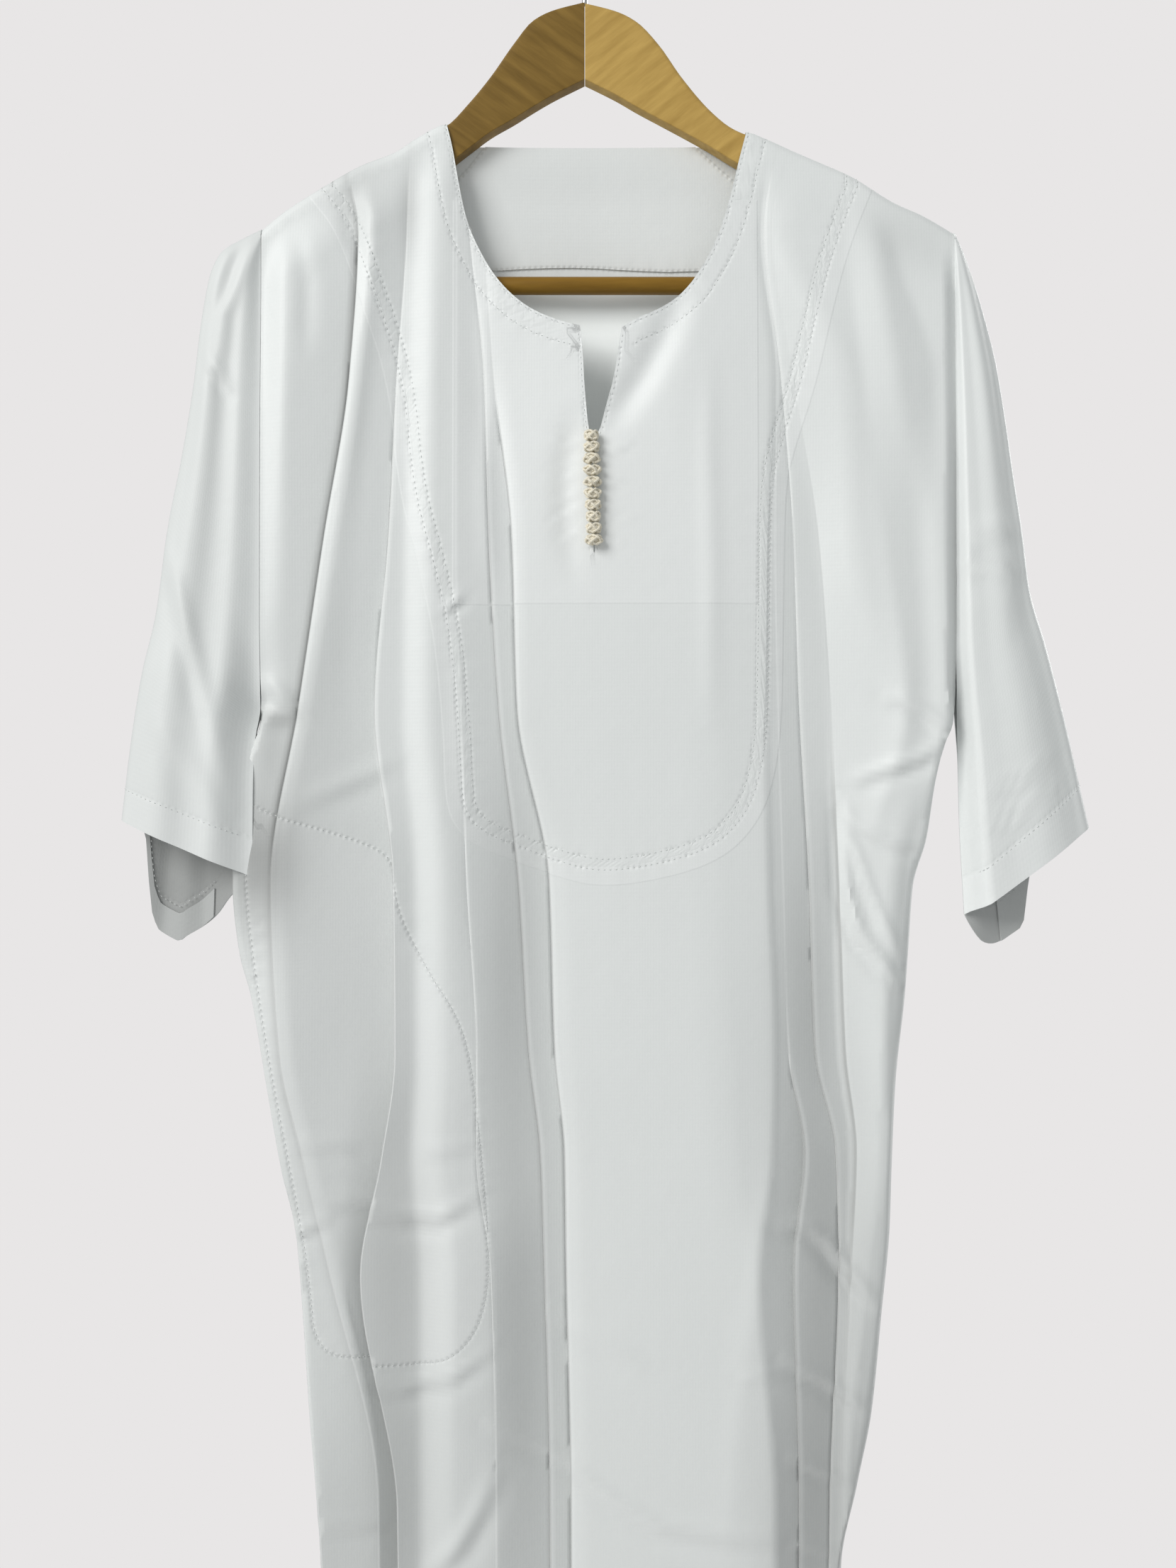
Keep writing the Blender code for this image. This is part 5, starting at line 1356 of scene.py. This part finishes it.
# a flat grid on the arm's outline, extruded to the wood's thickness, its long edges rounded
def makeArm(side):
    way = -1 if side == "left" else 1
    outline = armProfiles[side]
    reach = outline[-1][0] - arm["mitreGap"]
    bpy.ops.mesh.primitive_grid_add(x_subdivisions=arm["stations"], y_subdivisions=arm["rows"], size=1.0)
    piece = bpy.context.object
    piece.name = "hanger_arm_" + side + "_wood"
    for corner in piece.data.vertices:
        out = arm["mitreGap"] + reach * (corner.co.x + 0.5)
        top = float(readTable(outline, 1, out))
        low = float(readTable(outline, 2, out))
        corner.co = Vector((way * out, -arm["thick"] / 2, -(low + (top - low) * (corner.co.y + 0.5)))) * mm
    bpy.ops.object.mode_set(mode="EDIT")
    bpy.ops.mesh.select_all(action="SELECT")
    bpy.ops.mesh.extrude_region_move(TRANSFORM_OT_translate={"value": (0.0, arm["thick"] * mm, 0.0)})
    bpy.ops.mesh.select_all(action="SELECT")
    bpy.ops.mesh.normals_make_consistent(inside=False)
    bpy.ops.object.mode_set(mode="OBJECT")
    mesh = piece.data
    weights = mesh.attributes.new("bevel_weight_edge", "FLOAT", "EDGE")
    for edge in mesh.edges:
        a, b = (mesh.vertices[i].co / mm for i in edge.vertices)
        middle = (a + b) / 2
        crosses = abs(a.y - b.y) > arm["flat"] or abs(a.x - b.x) < arm["short"]
        if crosses or abs(abs(middle.y) - arm["thick"] / 2) > arm["offFace"]:
            continue
        if abs(-middle.z - float(readTable(outline, 1, abs(middle.x)))) < arm["near"]:
            weights.data[edge.index].value = 1.0
        elif abs(-middle.z - float(readTable(outline, 2, abs(middle.x)))) < arm["near"]:
            weights.data[edge.index].value = arm["lowRound"] / arm["topRound"]
    bevelled(piece, arm["topRound"], arm["roundSegments"], byWeight=True)
    finished(piece, "hanger_arm_" + side, woodMaterial(side), arm["sharpAngle"])


bar = {"radius": 5.5, "drop": 249.3, "reach": 187.2, "sides": 48, "softEnd": 0.8, "sharpAngle": 40}


def makeBar():
    bpy.ops.mesh.primitive_cylinder_add(
        vertices=bar["sides"], radius=bar["radius"] * mm, depth=2 * bar["reach"] * mm,
        rotation=(0.0, math.pi / 2, 0.0), location=(0.0, 0.0, -bar["drop"] * mm))
    piece = bpy.context.object
    piece.name = "hanger_bar_wood"
    bpy.ops.object.transform_apply(location=True, rotation=True, scale=True)
    bevelled(piece, bar["softEnd"], 2)
    finished(piece, "hanger_bar", woodMaterial("bar"), bar["sharpAngle"])


# a round wire or cord through the spots, as a mesh
def wirePiece(name, spots, radius, roundness, closed):
    curve = bpy.data.curves.new(name, "CURVE")
    curve.dimensions = "3D"
    curve.bevel_depth = radius * mm
    curve.bevel_resolution = roundness
    curve.use_fill_caps = not closed
    spline = curve.splines.new("POLY")
    spline.points.add(len(spots) - 1)
    spline.use_cyclic_u = closed
    for point, spot in zip(spline.points, spots):
        point.co = (*(value * mm for value in spot), 1.0)
    piece = bpy.data.objects.new(name, curve)
    bpy.context.scene.collection.objects.link(piece)
    bpy.context.view_layer.objects.active = piece
    piece.select_set(True)
    bpy.ops.object.convert(target="MESH")
    return bpy.context.object


hook = {
    "wire": 1.8, "inner": 20.0, "points": 60,
    "from": 205, "sweep": 264,    # in degrees, round the bend to the stem
    "stem": (
        (9.4, 39.9), (7.6, 41.3), (5.8, 42.8), (4.2, 44.4), (2.7, 46.4),
        (1.6, 48.6), (0.8, 51.2), (0.3, 54.0), (0.0, 60.0), (0.0, 74.7),
    ),
    "colour": (0.62, 0.62, 0.62), "roughness": 0.28, "sharpAngle": 50,
    "grainScale": 900.0, "bump": 0.1, "bumpDepth": 0.1,
}


def makeHook():
    steel, tree, shader = plainMaterial("hookSteel", hook["colour"], hook["roughness"])
    shader.inputs["Metallic"].default_value = 1.0
    place = node(tree, "ShaderNodeTexCoord").outputs["Object"]
    bumped(tree, shader, noise(tree, place, hook["grainScale"], 2.0), hook["bump"], hook["bumpDepth"])
    radius = hook["inner"] + hook["wire"]
    line = []
    for k in range(hook["points"]):
        angle = math.radians(hook["from"] - hook["sweep"] * k / (hook["points"] - 1))
        line.append((radius * math.cos(angle), 0.0, -hook["inner"] + radius * math.sin(angle)))
    line += [(x, 0.0, -drop) for x, drop in hook["stem"]]
    piece = wirePiece("hanger_hook_wire", line, hook["wire"], 5, False)
    finished(piece, "hanger_hook", steel, hook["sharpAngle"])


knot = {
    "count": 10, "half": (5.2, 3.5, 3.4), "cord": 0.85, "points": 150, "core": 0.72,
    "first": (4.0, 346.8), "last": (5.6, 410.7), "clear": 0.5,
    "rounds": 3, "waves": 4,            # times that the cord goes round, and rises and falls on its way
    "rise": 0.86, "pinch": 0.16,
    "colour": (0.80, 0.74, 0.60), "dark": (0.60, 0.53, 0.40), "light": (0.86, 0.81, 0.68),
    "darkAt": 0.3, "lightAt": 0.95, "roughness": 0.8, "sheen": 0.3, "bump": 0.7, "bumpDepth": 0.2,
    "strandScale": 420.0, "strandBend": 3.0, "strandShare": 0.6, "fuzzScale": 1400.0,
    "lean": (0.9, 0.4, 3.1),            # turn from knot to knot, its sway, and how soon the sway returns
}


def cordMaterial():
    material, tree, shader = plainMaterial("ivoryCord", knot["colour"], knot["roughness"])
    shader.inputs["Sheen Weight"].default_value = knot["sheen"]
    place = node(tree, "ShaderNodeTexCoord").outputs["Object"]
    strands = waves(tree, place, "DIAGONAL", knot["strandScale"], knot["strandBend"])
    fuzz = noise(tree, place, knot["fuzzScale"], 3.0)
    blend = maths(tree, "MULTIPLY_ADD", strands, knot["strandShare"], fuzz)
    steps = ((knot["darkAt"], knot["dark"]), (knot["lightAt"], knot["light"]))
    tree.links.new(rampColour(tree, blend, steps), shader.inputs["Base Color"])
    bumped(tree, shader, blend, knot["bump"], knot["bumpDepth"])
    return material


# the cord of a turk's-head knot: it rises and falls as it goes round the core
def knotLine(spot, lean):
    line = []
    for i in range(knot["points"]):
        t = 2 * math.pi * i / knot["points"] * knot["rounds"]
        rise = knot["rise"] * math.sin(t * knot["waves"] / knot["rounds"] + lean)
        girth = math.sqrt(1 - rise * rise)
        girth *= 1.0 - knot["pinch"] * math.cos(2 * t * knot["waves"] / knot["rounds"] + lean)
        spread = 1.0 - knot["cord"] / knot["half"][1] * 0.5
        at = (girth * math.cos(t), girth * math.sin(t), rise)
        line.append([s + half * a * spread for s, half, a in zip(spot, knot["half"], at)])
    return line


# the knots of ivory cord, one below another down the slit
def makeKnots():
    material = cordMaterial()
    steady, sway, beat = knot["lean"]
    for k in range(knot["count"]):
        share = k / (knot["count"] - 1)
        x, drop = (a + (b - a) * share for a, b in zip(knot["first"], knot["last"]))
        spot = frontSurface(np.array([x]), np.array([-drop]))[0]
        spot[1] -= cloth["solidWall"] / 2 + knot["clear"] + knot["half"][1]
        lean = steady * k + sway * math.sin(beat * k)
        name = f"knot_{k + 1:02d}"
        piece = wirePiece(name + "_cord", knotLine(spot, lean), knot["cord"], 1, True)
        bpy.ops.mesh.primitive_uv_sphere_add(segments=20, ring_count=12, radius=1.0)
        core = bpy.context.object
        core.scale = [half * knot["core"] * mm for half in knot["half"]]
        core.location = [value * mm for value in spot]
        bpy.ops.object.transform_apply(location=True, rotation=True, scale=True)
        piece.select_set(True)
        bpy.context.view_layer.objects.active = piece
        bpy.ops.object.join()
        finished(piece, name, material)


print("cloth")
makeFront()
makeBack()
makeSleeve("left")
makeSleeve("right")
print("hanger")
makeArm("left")
makeArm("right")
makeBar()
makeHook()
print("knots")
makeKnots()
for piece, nodeName in sheets:
    ridden(piece)

print("studio")
studio = {
    "back": (0.807, 0.791, 0.791),
    "ambient": 0.44, "ambientColour": (0.97, 1.0, 1.0),
    "floor": (0.78, 0.77, 0.77), "floorRoughness": 0.9, "floorRadius": 1.1, "floorDrop": 1620.0,
    "camera": (0.002, -1.03, -0.559), "lens": 38.03, "sensor": 36.0,
    "lightColour": (1.0, 0.995, 0.98),
    "lightAim": (0.0, 0.0, -0.6),
    "lights": (                # name, place, size, power
        ("keyLight", (-4.37, -4.37, 2.69), 3.6, 350.0),
        ("backLight", (4.6, 3.6, 1.6), 3.0, 190.0),
    ),
}

# the camera sees a plain backdrop, and the cloth is lit by a dimmer one
world = bpy.data.worlds.new("studioWorld")
bpy.context.scene.world = world
world.use_nodes = True
worldTree = world.node_tree
seen = worldTree.nodes["Background"]
seen.inputs["Color"].default_value = opaque(studio["back"])
seen.inputs["Strength"].default_value = 1.0
lit = node(
    worldTree, "ShaderNodeBackground", Color=opaque(studio["ambientColour"]), Strength=studio["ambient"])
rays = node(worldTree, "ShaderNodeLightPath").outputs["Is Camera Ray"]
chosen = node(worldTree, "ShaderNodeMixShader", Fac=rays, i1=lit.outputs[0], i2=seen.outputs[0])
worldTree.links.new(chosen.outputs[0], worldTree.nodes["World Output"].inputs["Surface"])

for lightName, place, size, power in studio["lights"]:
    bpy.ops.object.light_add(type="AREA", location=place)
    lamp = bpy.context.object
    lamp.name = lightName
    lamp.data.size = size
    lamp.data.energy = power
    lamp.data.color = studio["lightColour"]
    lamp.rotation_mode = "QUATERNION"
    lamp.rotation_quaternion = (Vector(studio["lightAim"]) - Vector(place)).to_track_quat("-Z", "Y")

bpy.ops.mesh.primitive_circle_add(
    vertices=96, radius=studio["floorRadius"], fill_type="NGON", location=(0, 0, -studio["floorDrop"] * mm))
floor = bpy.context.object
floor.name = "studioFloor"
floor.data.materials.append(plainMaterial("floorPaint", studio["floor"], studio["floorRoughness"])[0])

bpy.ops.object.camera_add(location=studio["camera"], rotation=(math.pi / 2, 0.0, 0.0))
camera = bpy.context.object
camera.data.lens = studio["lens"]
camera.data.sensor_width = studio["sensor"]
bpy.context.scene.camera = camera
bpy.context.scene.view_settings.view_transform = "Standard"
